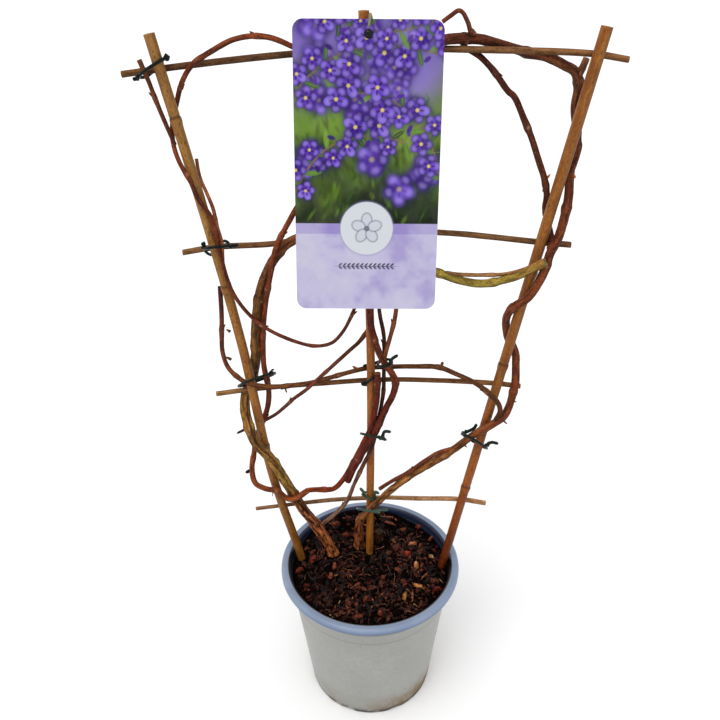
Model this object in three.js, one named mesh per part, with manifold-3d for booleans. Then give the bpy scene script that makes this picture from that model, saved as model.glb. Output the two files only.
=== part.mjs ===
// Wisteria in a pot: two dormant plants twined on a bamboo fan trellis in a nursery pot.
// Millimetres, +Z up, front towards -Y. The origin is the centre of the pot's flat underside.

import * as THREE from 'three';
import { mergeVertices } from 'three/addons/utils/BufferGeometryUtils.js';
import Module from 'manifold-3d';

const wasm = await Module();
wasm.setup();

// ---------------------------------------------------------------- driving dimensions

const SEAT_GAP = 0.3;

const POT_HEIGHT = 148;
const POT_BASE_RADIUS = 60.5;
const POT_BODY_TOP_RADIUS = 76.7;
const POT_WALL = 1.6;
const POT_FLOOR_TOP = 5;
const POT_SIDES = 48;
const LIP_RADIUS = 85;
const LIP_DEPTH = 7;
const RIB_BELOW_LIP = 11;
const CENTRE_PAD_RADIUS = 30;
const FOOT_RING_INNER_RADIUS = 51;
const RECESS_HEIGHT = 3;
const DRAIN_HOLES = 6;
const DRAIN_HOLE_RADIUS = 5;
const DRAIN_HOLE_CIRCLE = 41;
const FOOT_NOTCHES = 8;
const FOOT_NOTCH_RADIUS = 7;
const FOOT_NOTCH_HEIGHT = 2.4;

const SOIL_BELOW_RIM = 10;
const SOIL_SIDES = 40;
const SOIL_RELIEF = 1.3;
const SOIL_MOUND = 7.5;
const MOUND_STARTS = 38;
const MOUND_ENDS = 74;
const SOIL_TOP = POT_HEIGHT - SOIL_BELOW_RIM;

const CANE_SIDES = 8;
const CANE_STEP = 21;
const CROSSBAR_SIDES = 6;
const CROSSBAR_STEP = 20;

const STEM_STEP = 9;
const RINGS_BETWEEN_NODES = 5;
const NODE_SWELL = 1.2;
const BUD_LENGTH = 4.2;
const BUD_RADIUS = 1.2;
const BIGGEST_BUDDED_ROOT = 2.7;

const TIE_WIRE_RADIUS = 1.35;
const TIE_WIRE_SIDES = 5;
const TIE_LOOP_STEPS = 20;
const TIE_LOOP_POINTS = 12;

const CARD_WIDTH = 100.5;
const CARD_HEIGHT = 195;
const CARD_THICKNESS = 0.8;
const CARD_CORNER_RADIUS = 7;
const CARD_TOP = [2.4, 9, 626];
const CARD_LEAN = THREE.MathUtils.degToRad(13);
const CARD_SWING = THREE.MathUtils.degToRad(1.2);
const CARD_HOLE_RADIUS = 1.7;
const CARD_HOLE_BELOW_TOP = 9;
const BUTTON_RADIUS = 3;
const BUTTON_PEG_RADIUS = 1.3;

// ---------------------------------------------------------------- materials

function material(color, roughness, metalness = 0) {
  return new THREE.MeshStandardMaterial({ color, roughness, metalness });
}

const POT_PLASTIC = material(0xaeb2b8, 0.5);
const COMPOST = material(0x2e1c14, 0.95);
const BAMBOO = material(0xa87f3a, 0.5);
const STAINED_BAMBOO = material(0x8a4f1d, 0.5);
const SPLIT_WOOD = material(0x9a8262, 0.8);
const LEFT_BARK = material(0x7a4a2a, 0.75);
const RIGHT_BARK = material(0x8a5a34, 0.75);
const TIE_PLASTIC = material(0x2c3a2e, 0.5);
const CARD_STOCK = material(0xc3bbe0, 0.35);
const BUTTON_PLASTIC = material(0x101412, 0.35);

// ---------------------------------------------------------------- solids

// A closed geometry as a solid: shared corners merged, collapsed triangles dropped.
function toSolid(geometry) {
  const bare = geometry.clone();
  bare.deleteAttribute('normal');
  bare.deleteAttribute('uv');
  const merged = mergeVertices(bare, 1e-4);
  const index = merged.index.array;
  const triangles = [];
  for (let i = 0; i < index.length; i += 3) {
    const [a, b, c] = [index[i], index[i + 1], index[i + 2]];
    if (a !== b && b !== c && c !== a) triangles.push(a, b, c);
  }
  const mesh = new wasm.Mesh({
    numProp: 3,
    vertProperties: new Float32Array(merged.attributes.position.array),
    triVerts: new Uint32Array(triangles),
  });
  return new wasm.Manifold(mesh);
}

function toGeometry(solid) {
  const mesh = solid.getMesh();
  const geometry = new THREE.BufferGeometry();
  geometry.setAttribute('position', new THREE.BufferAttribute(mesh.vertProperties, 3));
  geometry.setIndex(new THREE.BufferAttribute(mesh.triVerts, 1));
  geometry.computeVertexNormals();
  return geometry;
}

function join(geometries) {
  return toGeometry(geometries.map(toSolid).reduce((whole, piece) => whole.add(piece)));
}

function cut(geometry, cutters) {
  return toGeometry(cutters.map(toSolid).reduce((whole, piece) => whole.subtract(piece), toSolid(geometry)));
}

const part = new THREE.Group();

function addPiece(name, geometry, pieceMaterial) {
  const mesh = new THREE.Mesh(geometry, pieceMaterial);
  mesh.name = name;
  part.add(mesh);
}

// A profile of [radius, height] pairs turned about the Z axis.
function turned(profile, sides) {
  const points = profile.map(([radius, height]) => new THREE.Vector2(radius, height));
  return new THREE.LatheGeometry(points, sides).rotateX(Math.PI / 2);
}

// Repeatable random numbers between 0 and 1.
function seededRandom(seed) {
  let state = seed;
  return () => {
    state = (state * 1664525 + 1013904223) % 4294967296;
    return state / 4294967296;
  };
}

function curveThrough(route) {
  return new THREE.CatmullRomCurve3(route.map((point) => new THREE.Vector3(...point)));
}

function polygon(sides) {
  const corners = [];
  for (let i = 0; i < sides; i += 1) {
    const angle = (i / sides) * 2 * Math.PI;
    corners.push(new THREE.Vector2(Math.cos(angle), Math.sin(angle)));
  }
  return new THREE.Shape(corners);
}

// A round rod along a route. radiusAt(share of the length, ring number) gives its radius.
function rod(route, sides, step, radiusAt) {
  const curve = curveThrough(route);
  const steps = Math.max(2, Math.round(curve.getLength() / step));
  const options = { steps, extrudePath: curve, bevelEnabled: false };
  const geometry = new THREE.ExtrudeGeometry(polygon(sides), options);
  const centres = curve.getSpacedPoints(steps);
  const position = geometry.attributes.position;
  const corner = new THREE.Vector3();
  for (let i = 0; i < position.count; i += 1) {
    corner.fromBufferAttribute(position, i);
    const distances = centres.map((centre) => centre.distanceToSquared(corner));
    const ring = distances.indexOf(Math.min(...distances));
    corner.sub(centres[ring]).multiplyScalar(radiusAt(ring / steps, ring)).add(centres[ring]);
    position.setXYZ(i, corner.x, corner.y, corner.z);
  }
  return geometry;
}

// ---------------------------------------------------------------- pot and soil

function outerRadiusAt(height) {
  const share = height / (POT_HEIGHT - LIP_DEPTH);
  return POT_BASE_RADIUS + (POT_BODY_TOP_RADIUS - POT_BASE_RADIUS) * share;
}

function innerRadiusAt(height) {
  return outerRadiusAt(height) - POT_WALL;
}

function pot() {
  const underLip = POT_HEIGHT - LIP_DEPTH;
  const rib = underLip - RIB_BELOW_LIP;
  const shell = turned([
    [0, 0],
    [CENTRE_PAD_RADIUS, 0],
    [CENTRE_PAD_RADIUS + 1, RECESS_HEIGHT],
    [FOOT_RING_INNER_RADIUS, RECESS_HEIGHT],
    [FOOT_RING_INNER_RADIUS + 1, 0],
    [POT_BASE_RADIUS - 1, 0],
    [outerRadiusAt(1), 1],
    [outerRadiusAt(rib - 1.5), rib - 1.5],
    [outerRadiusAt(rib) + 0.6, rib],
    [outerRadiusAt(rib + 1.5), rib + 1.5],
    [outerRadiusAt(underLip), underLip],
    [LIP_RADIUS - 1.2, underLip + 0.6],
    [LIP_RADIUS, underLip + 2.2],
    [LIP_RADIUS, POT_HEIGHT - 2.8],
    [LIP_RADIUS - 1.6, POT_HEIGHT - 0.7],
    [LIP_RADIUS - 4.2, POT_HEIGHT],
    [LIP_RADIUS - 7, POT_HEIGHT - 0.5],
    [innerRadiusAt(underLip) + 1.2, POT_HEIGHT - 2],
    [innerRadiusAt(underLip), underLip],
    [innerRadiusAt(POT_FLOOR_TOP), POT_FLOOR_TOP],
    [0, POT_FLOOR_TOP],
  ], POT_SIDES);

  const openings = [];
  for (let i = 0; i < DRAIN_HOLES; i += 1) {
    const angle = (i / DRAIN_HOLES) * 2 * Math.PI;
    const hole = new THREE.CylinderGeometry(DRAIN_HOLE_RADIUS, DRAIN_HOLE_RADIUS, 20, 10);
    hole.rotateX(Math.PI / 2);
    hole.translate(DRAIN_HOLE_CIRCLE * Math.cos(angle), DRAIN_HOLE_CIRCLE * Math.sin(angle), 0);
    openings.push(hole);
  }
  // Shallow notches in the foot ring leave low feet between them.
  for (let i = 0; i < FOOT_NOTCHES; i += 1) {
    const notch = new THREE.CylinderGeometry(FOOT_NOTCH_RADIUS, FOOT_NOTCH_RADIUS, 20, 12);
    notch.scale(1, 1, FOOT_NOTCH_HEIGHT / FOOT_NOTCH_RADIUS);
    notch.translate(0, POT_BASE_RADIUS - 2, 0);
    notch.rotateZ(((i + 0.5) / FOOT_NOTCHES) * 2 * Math.PI);
    openings.push(notch);
  }
  return cut(shell, openings);
}

// Small lumps all over, and a mound against the back of the pot.
function soilRelief(x, y) {
  const mound = SOIL_MOUND * THREE.MathUtils.smoothstep(0.97 * y - 0.25 * x, MOUND_STARTS, MOUND_ENDS);
  const broad = Math.sin(x * 0.11 + 0.6) * Math.cos(y * 0.13 - 0.4);
  const fine = Math.sin(x * 0.31 + y * 0.17) * Math.sin(y * 0.37 - x * 0.12 + 1.1);
  return mound + SOIL_RELIEF * (0.6 * broad + 0.5 * fine);
}

function soil(plugs) {
  const bottom = POT_FLOOR_TOP + SEAT_GAP;
  const wallClearance = SEAT_GAP + 0.4;
  const topRadius = innerRadiusAt(SOIL_TOP) - wallClearance;
  const profile = [
    [0, bottom],
    [innerRadiusAt(bottom) - wallClearance, bottom],
    [topRadius, SOIL_TOP - 1],
  ];
  for (const share of [0.93, 0.84, 0.75, 0.66, 0.57, 0.48, 0.39, 0.3, 0.2, 0.1, 0]) {
    profile.push([topRadius * share, SOIL_TOP]);
  }
  const body = turned(profile, SOIL_SIDES);
  const position = body.attributes.position;
  for (let i = 0; i < position.count; i += 1) {
    if (position.getZ(i) < SOIL_TOP - 1.5) continue;
    position.setZ(i, position.getZ(i) + soilRelief(position.getX(i), position.getY(i)));
  }
  return cut(body, plugs);
}

// ---------------------------------------------------------------- trellis

// Each cane: route, radius at the foot and at the top, and where along it its joints are.
const CANES = {
  cane_left: {
    route: [[-58, 14, 84], [-67, 14, 139], [-88, 14, 242], [-104.5, 14, 385.5], [-124, 14, 507],
      [-144, 14, 618.5]],
    foot: 4.5,
    top: 3.9,
    look: BAMBOO,
    joints: [0.36, 0.58, 0.81],
  },
  cane_centre: {
    route: [[-1, 19.6, 60], [0, 19.6, 139], [2, 19.6, 276], [2.6, 19.6, 340], [1, 19.6, 473],
      [-0.6, 19.6, 630]],
    foot: 3.85,
    top: 3.7,
    look: BAMBOO,
    joints: [0.3, 0.52, 0.78],
  },
  cane_right: {
    route: [[59.4, 0, 84], [69.6, 1, 138], [89.2, 3.2, 242], [112, 6, 362], [132, 9, 466], [161, 12, 619]],
    foot: 4.35,
    top: 4.2,
    look: STAINED_BAMBOO,
    joints: [0.28, 0.53, 0.76],
  },
};

function between(start, end, share) {
  return start + (end - start) * share;
}

function cane({ route, foot, top, joints }, extra = 0) {
  return rod(route, CANE_SIDES, CANE_STEP, (share) => {
    const nearJoint = joints.some((joint) => Math.abs(share - joint) < 0.021);
    return between(foot, top, share) * (nearJoint ? 1.1 : 1) + extra;
  });
}

// Each crossbar: route, and radius at its left and right end.
const CROSSBARS = {
  crossbar_1: {
    route: [[-168, 19.1, 592], [-138.3, 20.7, 595.3], [-50, 23, 603], [-1, 26.1, 604.9],
      [89.8, 19.5, 604.1], [155.2, 18.6, 600.9], [180.5, 17.6, 596.9]],
    left: 2.25,
    right: 2.25,
  },
  crossbar_2: {
    route: [[-143, 19.5, 459.5], [-117.2, 20.7, 463.1], [-75, 21.8, 464.5], [-54, 23, 467],
      [1, 26, 470.6], [54, 22, 472], [137.1, 15.6, 464.8], [157, 14.6, 463]],
    left: 2.2,
    right: 2.25,
  },
  crossbar_3: {
    route: [[-131, 19.5, 328.1], [-101.1, 20.6, 331.5], [-40, 23.1, 335], [2.6, 26.3, 335.6],
      [40, 22, 338], [107.2, 12.3, 339.3], [129.1, 10.9, 336.8]],
    left: 2.05,
    right: 2.1,
  },
  crossbar_4: {
    route: [[-107.5, 19.2, 197.7], [-81.1, 20.5, 200.2], [-37, 23.7, 203], [0.5, 26.5, 202.6],
      [14, 25.2, 204], [45, 18, 208.3], [84.2, 9.9, 213.7], [108, 7.8, 210.3]],
    left: 1.7,
    right: 2.2,
  },
};

function crossbar({ route, left, right }) {
  return rod(route, CROSSBAR_SIDES, CROSSBAR_STEP, (share) => between(left, right, share));
}

// ---------------------------------------------------------------- plants

// Woody shoots: route, radius at the root and at the tip, and how rough the bark is. A bare one has no buds.
const LEFT_SHOOTS = [
  {
    // Main stem: out of the soil, across the left cane, up and over to the right cane.
    route: [[-31, 18, 104], [-36, 19, 139], [-44.5, 18, 161.5], [-54, 16, 184], [-64, 13.4, 205.1],
      [-72.5, 10, 229], [-80.5, 6.9, 251.6], [-87.7, 4.4, 269.8], [-98, 4, 285], [-103.6, 5.4, 303.5],
      [-107, 15, 315.5], [-106.5, 25.5, 325], [-101, 31.5, 334.5], [-98, 30, 346], [-95.5, 23, 357],
      [-93.5, 17, 371], [-91.5, 15, 391], [-84, 15, 430], [-69, 15, 459], [-54, 15, 471],
      [-30, 14, 473], [0, 11.7, 466.1], [28, 13, 453], [54, 14, 442], [76, 14, 434], [91.5, 12, 432.5],
      [105.5, 8, 437], [114, 3, 442], [122, -1, 448], [128.5, -4.5, 453.5], [133.4, -6.4, 458.2]],
    root: 5.2, tip: 3, sides: 8, rough: 0.1,
  },
  {
    // Shoot from the base that joins the bundle on the centre cane and runs up behind the card.
    route: [[-48.5, 17, 175], [-43, 18, 180], [-32, 17, 192], [-21, 16, 208], [-13, 15, 231],
      [-3.5, 13.6, 256.5], [2.5, 13.3, 270.9], [8, 15.4, 297.4], [13, 16.6, 328], [13.5, 16.8, 352],
      [13.5, 16.5, 383], [9.5, 15, 410], [10, 13.5, 440], [14, 13, 458]],
    root: 2, tip: 1.6, sides: 6, rough: 0.05,
  },
  {
    // Red-brown side shoot that swings out right of the stem and ends cut beside the centre cane.
    route: [[-67, 13, 215.5], [-62, 8, 224.5], [-56, 7, 229.5], [-44, 11, 226.7], [-33, 13, 225.9],
      [-24.5, 14, 234.5], [-14, 13.5, 256], [-4, 13, 279], [2, 12.4, 294], [5.5, 11.6, 312.3],
      [7.6, 11, 328.7], [8, 10.9, 351.9]],
    root: 2.3, tip: 2.7, sides: 6, rough: 0.05,
  },
  {
    // Its twin to the left: round the left cane, up beside the stem, over the card, down the left cane.
    route: [[-56, 7, 229.5], [-66.5, 4.5, 222.5], [-74, 3.5, 222.5], [-84, 4.5, 231.5],
      [-94.5, 6.5, 232.5], [-103.8, 10, 236.2], [-106.5, 15, 249], [-104, 20, 262.9], [-101, 21.5, 279],
      [-92, 21.5, 301], [-86.5, 17, 320], [-85, 14.5, 338], [-87.1, 14, 358.9], [-85.5, 14.5, 390],
      [-82, 13.5, 414], [-77, 9, 436], [-72.5, 8.5, 454], [-69, 11, 467], [-57, 15, 488],
      [-42, 16, 512], [-30, 16.5, 540], [-24, 17, 572], [-32, 16.5, 598], [-49.5, 16, 609],
      [-67, 15, 615.4], [-87, 15, 614.1], [-105, 15, 606], [-118, 15.4, 598], [-127, 17.5, 586],
      [-133, 20.6, 572], [-137.8, 20.8, 558], [-138.4, 17, 546], [-134.2, 9.6, 533.5], [-127.5, 6, 521],
      [-123, 6.8, 506], [-116.5, 8.6, 493.5], [-114, 8.4, 480], [-112, 8, 466], [-110, 7.6, 450],
      [-107.5, 7.6, 436.5], [-101.5, 8.5, 421], [-91.5, 8.6, 406.5], [-78.5, 8, 395.5], [-58, 6, 386],
      [-43, 4, 383], [-29.5, 4, 385.5], [-20.5, 5, 394.5], [-13, 7, 408], [-6, 8, 428], [2, 9.5, 452]],
    root: 2.6, tip: 1.35, sides: 6, rough: 0.05,
  },
  {
    // Thin shoot with a cut end outside the left cane.
    route: [[-137, 15.5, 544], [-141.6, 15.6, 559.1], [-145.5, 15.6, 572.8], [-149.2, 14.8, 588.8],
      [-153.6, 15.8, 601.8]],
    root: 1.5, tip: 1.75, sides: 6, rough: 0.04,
  },
  {
    // Short strand just right of the left cane.
    route: [[-111, 8, 452], [-110.5, 10.5, 472], [-113, 13, 483], [-114.5, 14, 496],
      [-118.4, 16.8, 507.4], [-122.9, 20.1, 518.9], [-124, 21.1, 532]],
    root: 1.6, tip: 1.3, sides: 6, rough: 0.04,
  },
  {
    // Dark shoot that hangs from behind the card, kinks round and ends square-cut.
    route: [[14, 12.6, 461], [5, 11, 440], [2, 11.4, 412], [3.6, 11.4, 392], [8.5, 10, 374.5],
      [14.5, 9, 361.5], [20, 8, 353], [23, 8, 344], [21, 8.4, 331.5], [15.5, 9, 318.5],
      [10.5, 8.6, 305], [6, 8, 293], [-0.5, 8, 280.5], [-8, 9, 265], [-14.5, 9.6, 250],
      [-19.5, 10, 237]],
    root: 2.8, tip: 3, sides: 7, rough: 0.07,
  },
  {
    // Thinner companion that leaves the dark shoot's knot to the right.
    route: [[13.5, 9.4, 365.5], [15.5, 7.6, 377], [19.5, 6, 395], [22.5, 5, 414], [22, 8, 438],
      [20, 12, 456]],
    root: 1.8, tip: 1.75, sides: 6, rough: 0.04,
  },
  {
    // Thin whip from behind the left cane across to the centre cane.
    route: [[-91, 21.5, 298.5], [-82.1, 22, 303.7], [-73.5, 19, 313.2], [-64, 14, 325.5],
      [-53, 12, 335.5], [-38.9, 12.5, 349.5], [-27.6, 15, 359.4], [-16, 19, 368.9], [-6.3, 23.7, 376.1],
      [2, 25.8, 388.2]],
    root: 1.5, tip: 1.75, sides: 6, rough: 0.04,
  },
  {
    // Straight brown strand that lies on the green arc as far as the right cane.
    route: [[61.8, 13.5, 441.7], [71.2, 13.5, 440.2], [88.4, 13, 439.6], [103.7, 11, 440.6],
      [109.3, 8.5, 442.5], [117.4, 4, 446.9], [127, -2, 454.4], [133.2, -5.5, 459.9]],
    root: 1.7, tip: 1.4, sides: 6, rough: 0.04, bare: true,
  },
];

const RIGHT_SHOOTS = [
  {
    // Old trunk behind the centre cane.
    route: [[-6, 37, 104], [-9, 31, 132], [-10, 27, 148], [-10, 23, 165], [-9, 19, 180],
      [-7.5, 14.5, 191]],
    root: 6.5, tip: 3.4, sides: 8, rough: 0.14,
  },
  {
    // Dead stump beside the trunk.
    route: [[-6, 36, 116], [4, 38, 126], [9, 37, 138], [10, 36, 151]],
    root: 5.4, tip: 4, sides: 8, rough: 0.16,
  },
  {
    // Main stem: across the centre cane, over to the right cane, round it twice and along the top.
    route: [[-9, 19, 179], [-6.5, 13, 191], [0.5, 8.6, 203.5], [8, 9, 212], [18, 9, 224.4],
      [35.9, 7.5, 243.3], [57.9, 5, 261.7], [74, 1, 278], [90, -3.6, 297], [103, -4.4, 307],
      [114.5, -1, 313.5], [119.6, 3, 321.8], [121.8, 4, 333.5], [123.3, 5.6, 344.8], [123.7, 11, 355.1],
      [123, 17, 367.5], [116.5, 18, 380], [113, 15.4, 394], [111.9, 9.2, 405.5], [115.2, 1.2, 417.5],
      [124.4, -0.6, 425.5], [131, -0.6, 437], [135.5, 0.6, 448.9], [138.1, 1.2, 461.4], [143, 3, 472],
      [147, 6.5, 487], [149.5, 11.5, 502], [150, 17.5, 518], [153, 19.6, 533], [151.9, 20.4, 548],
      [149, 21, 566], [149.5, 21.4, 579.5], [145.6, 22, 588.8], [138.3, 23, 592.9],
      [125.5, 24.1, 598.5], [113.4, 26.1, 600.7], [103.8, 26.7, 603.4], [90.8, 26.6, 607],
      [80, 25.3, 610], [70.8, 26.4, 610.5], [56.2, 19.7, 611.3], [34, 16, 608]],
    root: 3.2, tip: 3.6, sides: 8, rough: 0.08,
  },
  {
    // Cut stub on the top node.
    route: [[147.5, 22, 585], [151, 23.4, 591], [153.5, 25, 597]],
    root: 3.2, tip: 2.4, sides: 6, rough: 0.05,
  },
  {
    // Dark strand lying on the main stem, with a cut lower end.
    route: [[9.5, 8.6, 228.5], [20.5, 8.2, 237.5], [35.5, 7.4, 248.2], [48.5, 5.8, 261.4],
      [61.5, 3.6, 273], [73, 1.4, 279]],
    root: 1.9, tip: 1.9, sides: 6, rough: 0.05,
  },
  {
    // Long whip: over the right cane, back behind the centre cane, across to the left cane and up.
    route: [[107.5, -3.6, 311.5], [110.5, -5, 322], [108, -5.4, 331], [100.5, -4.4, 339.5],
      [90, 1.5, 346], [77, 8, 350], [60, 15.4, 354], [41, 21.5, 351.6], [20, 26, 348.9],
      [0, 27.8, 346.8], [-18, 24.5, 344.3], [-34, 18.5, 343], [-48, 16.6, 340], [-62, 14, 339.5],
      [-75, 9.4, 341], [-88, 7.6, 343], [-101.5, 7.2, 346.5], [-109, 8, 352], [-116.5, 10.5, 360],
      [-120, 12, 374], [-119, 13, 391], [-118, 15.5, 405], [-117.5, 18.5, 420], [-117.5, 21, 429.5]],
    root: 2.2, tip: 1.9, sides: 6, rough: 0.05,
  },
  {
    // Kinked shoot above the top crossbar.
    route: [[74.5, 24, 614], [71.8, 21, 615.1], [69.1, 18.5, 621.5], [64.9, 17, 628.2],
      [62.1, 17, 629.3], [57.4, 17, 626.4], [51.8, 17, 622.6]],
    root: 1.7, tip: 1.5, sides: 6, rough: 0.04,
  },
  {
    // Arched shoot that leaves the top behind the crossbar and ends on the main stem.
    route: [[66, 24, 611.5], [68.7, 26.6, 605.2], [73.6, 27, 602.5], [79.4, 24.5, 599.2],
      [86.6, 19, 592.9], [92.7, 16, 585.6], [99.2, 15, 577.7], [103.2, 14, 574.5], [111.7, 14, 558.9],
      [119, 14, 544], [125.5, 14.6, 528.5], [130.8, 15, 515.8], [134.5, 16.4, 502.7],
      [134.9, 17.4, 491.5], [137.2, 18.2, 482.5], [140.1, 15.7, 473.6], [140.4, 8.9, 466.8],
      [138, 2.6, 465.5]],
    root: 2.1, tip: 2.6, sides: 6, rough: 0.05,
  },
];

function thicknessAt({ root, tip }, share) {
  return between(root, tip, share);
}

// One shoot: tapered, uneven by its bark and swollen at its nodes.
function shoot(one, seed) {
  const random = seededRandom(seed);
  const unevenness = [];
  return rod(one.route, one.sides, STEM_STEP, (share, ring) => {
    if (unevenness[ring] === undefined) unevenness[ring] = 1 + one.rough * (random() - 0.5);
    const swell = ring % RINGS_BETWEEN_NODES === RINGS_BETWEEN_NODES - 1 ? NODE_SWELL : 1;
    return thicknessAt(one, share) * swell * unevenness[ring];
  });
}

// Pointed buds on alternate sides of the nodes of the thinner shoots.
function buds(one) {
  const { route, root, bare } = one;
  const curve = curveThrough(route);
  const steps = Math.max(2, Math.round(curve.getLength() / STEM_STEP));
  const cones = [];
  if (bare || root > BIGGEST_BUDDED_ROOT) return cones;
  for (let ring = RINGS_BETWEEN_NODES - 1; ring < steps - 1; ring += 2 * RINGS_BETWEEN_NODES) {
    const share = ring / steps;
    const thickness = thicknessAt(one, share);
    const along = curve.getTangentAt(share);
    const side = new THREE.Vector3(0, -1, 0).cross(along).normalize();
    if (cones.length % 2) side.negate();
    const direction = side.multiplyScalar(0.75).add(along).normalize();
    const cone = new THREE.ConeGeometry(BUD_RADIUS, BUD_LENGTH, 4);
    cone.translate(0, thickness * 0.6 + BUD_LENGTH / 2, 0);
    cone.applyQuaternion(new THREE.Quaternion().setFromUnitVectors(new THREE.Vector3(0, 1, 0), direction));
    cone.translate(...curve.getPointAt(share));
    cones.push(cone);
  }
  return cones;
}

function vine(shoots, seed) {
  const pieces = shoots.flatMap((one, i) => [shoot(one, seed + i), ...buds(one)]);
  return join(pieces);
}

// ---------------------------------------------------------------- wire ties

// Each tie is an oval loop about `at`, `wide` by `deep`, that hangs down towards the back by `dip`.
// Its front half slants up from +X by `slant`; its back half turns on towards `back` to clear a crossbar.
// A tail leaves the loop at an angle: 0 is the wide way, 90 the back and -90 the front.
const TIES = {
  tie_top_left: {
    at: [-144.8, 16.5, 596.8], wide: 12.4, deep: 9.2, slant: 30, back: 44, dip: 10,
    tails: [[-20, [-133.4, 11, 603.4], [-133.8, 10, 606.4]], [-150, [-157.4, 10.6, 589.4]]],
  },
  tie_upper_left: {
    at: [-115.2, 13.9, 465.3], wide: 9.9, deep: 11.6, slant: 6, back: 74, dip: 24,
    tails: [[-25, [-102.6, 9.8, 468.2], [-98, 12.4, 468]], [-160, [-124.2, 10, 468.6], [-123.5, 10, 472]]],
  },
  tie_lower_left: {
    at: [-94, 12.6, 346.2], wide: 17, deep: 12.7, slant: 22, back: 22, dip: 34,
    tails: [[-35, [-80.2, 5, 357.4]]],
  },
  tie_centre: {
    at: [2.6, 21.9, 338.7], wide: 7.7, deep: 8.1, slant: 36, back: 75, dip: 32,
    tails: [[-150, [-4.8, 14, 339.4]]],
  },
  tie_knot: {
    at: [14.2, 12.1, 361], wide: 6, deep: 8.6, slant: 14, back: 14, dip: 12,
    tails: [[-45, [19.7, 4, 369.6], [24.5, 4, 373.3]],
      [90, [8.6, 25.4, 354], [1.8, 26, 350.9], [-4.1, 25, 350.7]]],
  },
  tie_bundle: {
    at: [2.8, 14, 284.8], wide: 9.9, deep: 11.4, slant: -16, back: -16, dip: 36,
    tails: [[-60, [12, 2.6, 290], [15.6, 2, 288.9]], [-14, [14.4, 6, 295.2], [19.5, 6, 294.5]]],
  },
  tie_bottom_bar: {
    at: [0.9, 22.9, 205.7], wide: 8.4, deep: 9.3, slant: -32, back: -93, dip: 36,
    tails: [[-140, [-4.6, 13, 220.1], [-8.3, 13, 226.2]], [-40, [5.6, 14.4, 220], [9.4, 14.4, 218]]],
  },
  tie_trunk: {
    at: [-1, 14.3, 197.1], wide: 10.4, deep: 12.6, slant: -15, back: -15, dip: 42,
    tails: [[-60, [9.9, 2.4, 208.4], [17.3, 2.4, 208.5]]],
  },
  tie_right: {
    at: [92, 1.1, 287], wide: 13.9, deep: 10.7, slant: -36, back: -36, dip: 36,
    tails: [[-45, [105.4, -4.6, 289.5], [112.1, -3, 286.9]], [165, [91.2, 3.8, 298.8], [93.3, 3.6, 303.4]]],
  },
};

// A point on the loop: 0 degrees is its right end, 90 its back.
function onLoop({ at, wide, deep, slant, back, dip }, degrees) {
  const angle = THREE.MathUtils.degToRad(degrees);
  const rise = THREE.MathUtils.degToRad(between(slant, back, Math.max(0, Math.sin(angle))));
  const across = wide * Math.cos(angle);
  const behind = deep * Math.sin(angle);
  const drop = behind * Math.tan(THREE.MathUtils.degToRad(dip));
  return [at[0] + across * Math.cos(rise), at[1] + behind, at[2] + across * Math.sin(rise) - drop];
}

function wireLoop(one) {
  const points = [];
  for (let degrees = 0; degrees < 360; degrees += 360 / TIE_LOOP_POINTS) {
    points.push(new THREE.Vector3(...onLoop(one, degrees)));
  }
  const curve = new THREE.CatmullRomCurve3(points, true);
  return new THREE.TubeGeometry(curve, TIE_LOOP_STEPS, TIE_WIRE_RADIUS, TIE_WIRE_SIDES, true);
}

function wire(route, radius) {
  return rod(route, TIE_WIRE_SIDES, 4, () => radius);
}

function tie(one) {
  const tailRoutes = one.tails.map(([degrees, ...points]) => [onLoop(one, degrees), ...points]);
  return join([wireLoop(one), ...tailRoutes.map((route) => wire(route, TIE_WIRE_RADIUS))]);
}

// ---------------------------------------------------------------- hanging card

// Moves a shape drawn on the card (X across, Y up, Z out of the front) to where the card hangs.
function placeOnCard(geometry) {
  return geometry.rotateZ(-CARD_SWING).rotateX(Math.PI / 2 - CARD_LEAN).translate(...CARD_TOP);
}

function card() {
  const right = CARD_WIDTH / 2 - CARD_CORNER_RADIUS;
  const top = -CARD_CORNER_RADIUS;
  const bottom = CARD_CORNER_RADIUS - CARD_HEIGHT;
  const outline = new THREE.Shape();
  outline.absarc(right, top, CARD_CORNER_RADIUS, 0, Math.PI / 2);
  outline.absarc(-right, top, CARD_CORNER_RADIUS, Math.PI / 2, Math.PI);
  outline.absarc(-right, bottom, CARD_CORNER_RADIUS, Math.PI, Math.PI * 1.5);
  outline.absarc(right, bottom, CARD_CORNER_RADIUS, Math.PI * 1.5, Math.PI * 2);
  const hole = new THREE.Path();
  hole.absarc(0, -CARD_HOLE_BELOW_TOP, CARD_HOLE_RADIUS, 0, Math.PI * 2);
  outline.holes.push(hole);
  const options = { depth: CARD_THICKNESS, bevelEnabled: false, curveSegments: 5 };
  return placeOnCard(new THREE.ExtrudeGeometry(outline, options));
}

// A domed head in front of the card on a peg that reaches back to the centre cane.
function button() {
  const front = CARD_THICKNESS + SEAT_GAP;
  const pegEnd = -6.6;
  const profile = [
    [0, pegEnd],
    [BUTTON_PEG_RADIUS, pegEnd],
    [BUTTON_PEG_RADIUS, front],
    [BUTTON_RADIUS, front],
    [BUTTON_RADIUS * 0.92, front + 1.2],
    [BUTTON_RADIUS * 0.6, front + 2.2],
    [0, front + 2.7],
  ];
  return placeOnCard(turned(profile, 12).translate(0, -CARD_HOLE_BELOW_TOP, 0));
}

const BUTTON_WIRE_RADIUS = 0.9;
const BUTTON_WIRE_ROUTE = [[2.4, 5.2, 621.6], [3.2, 6.2, 626], [3.6, 9, 629], [4.4, 12.6, 626.4],
  [4.8, 17, 621], [4.5, 22.8, 616.6], [-0.2, 25.1, 615], [-5.1, 22.6, 614.6], [-5.6, 17.6, 614.8],
  [-3.6, 13.8, 616]];

// ---------------------------------------------------------------- the part

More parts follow.
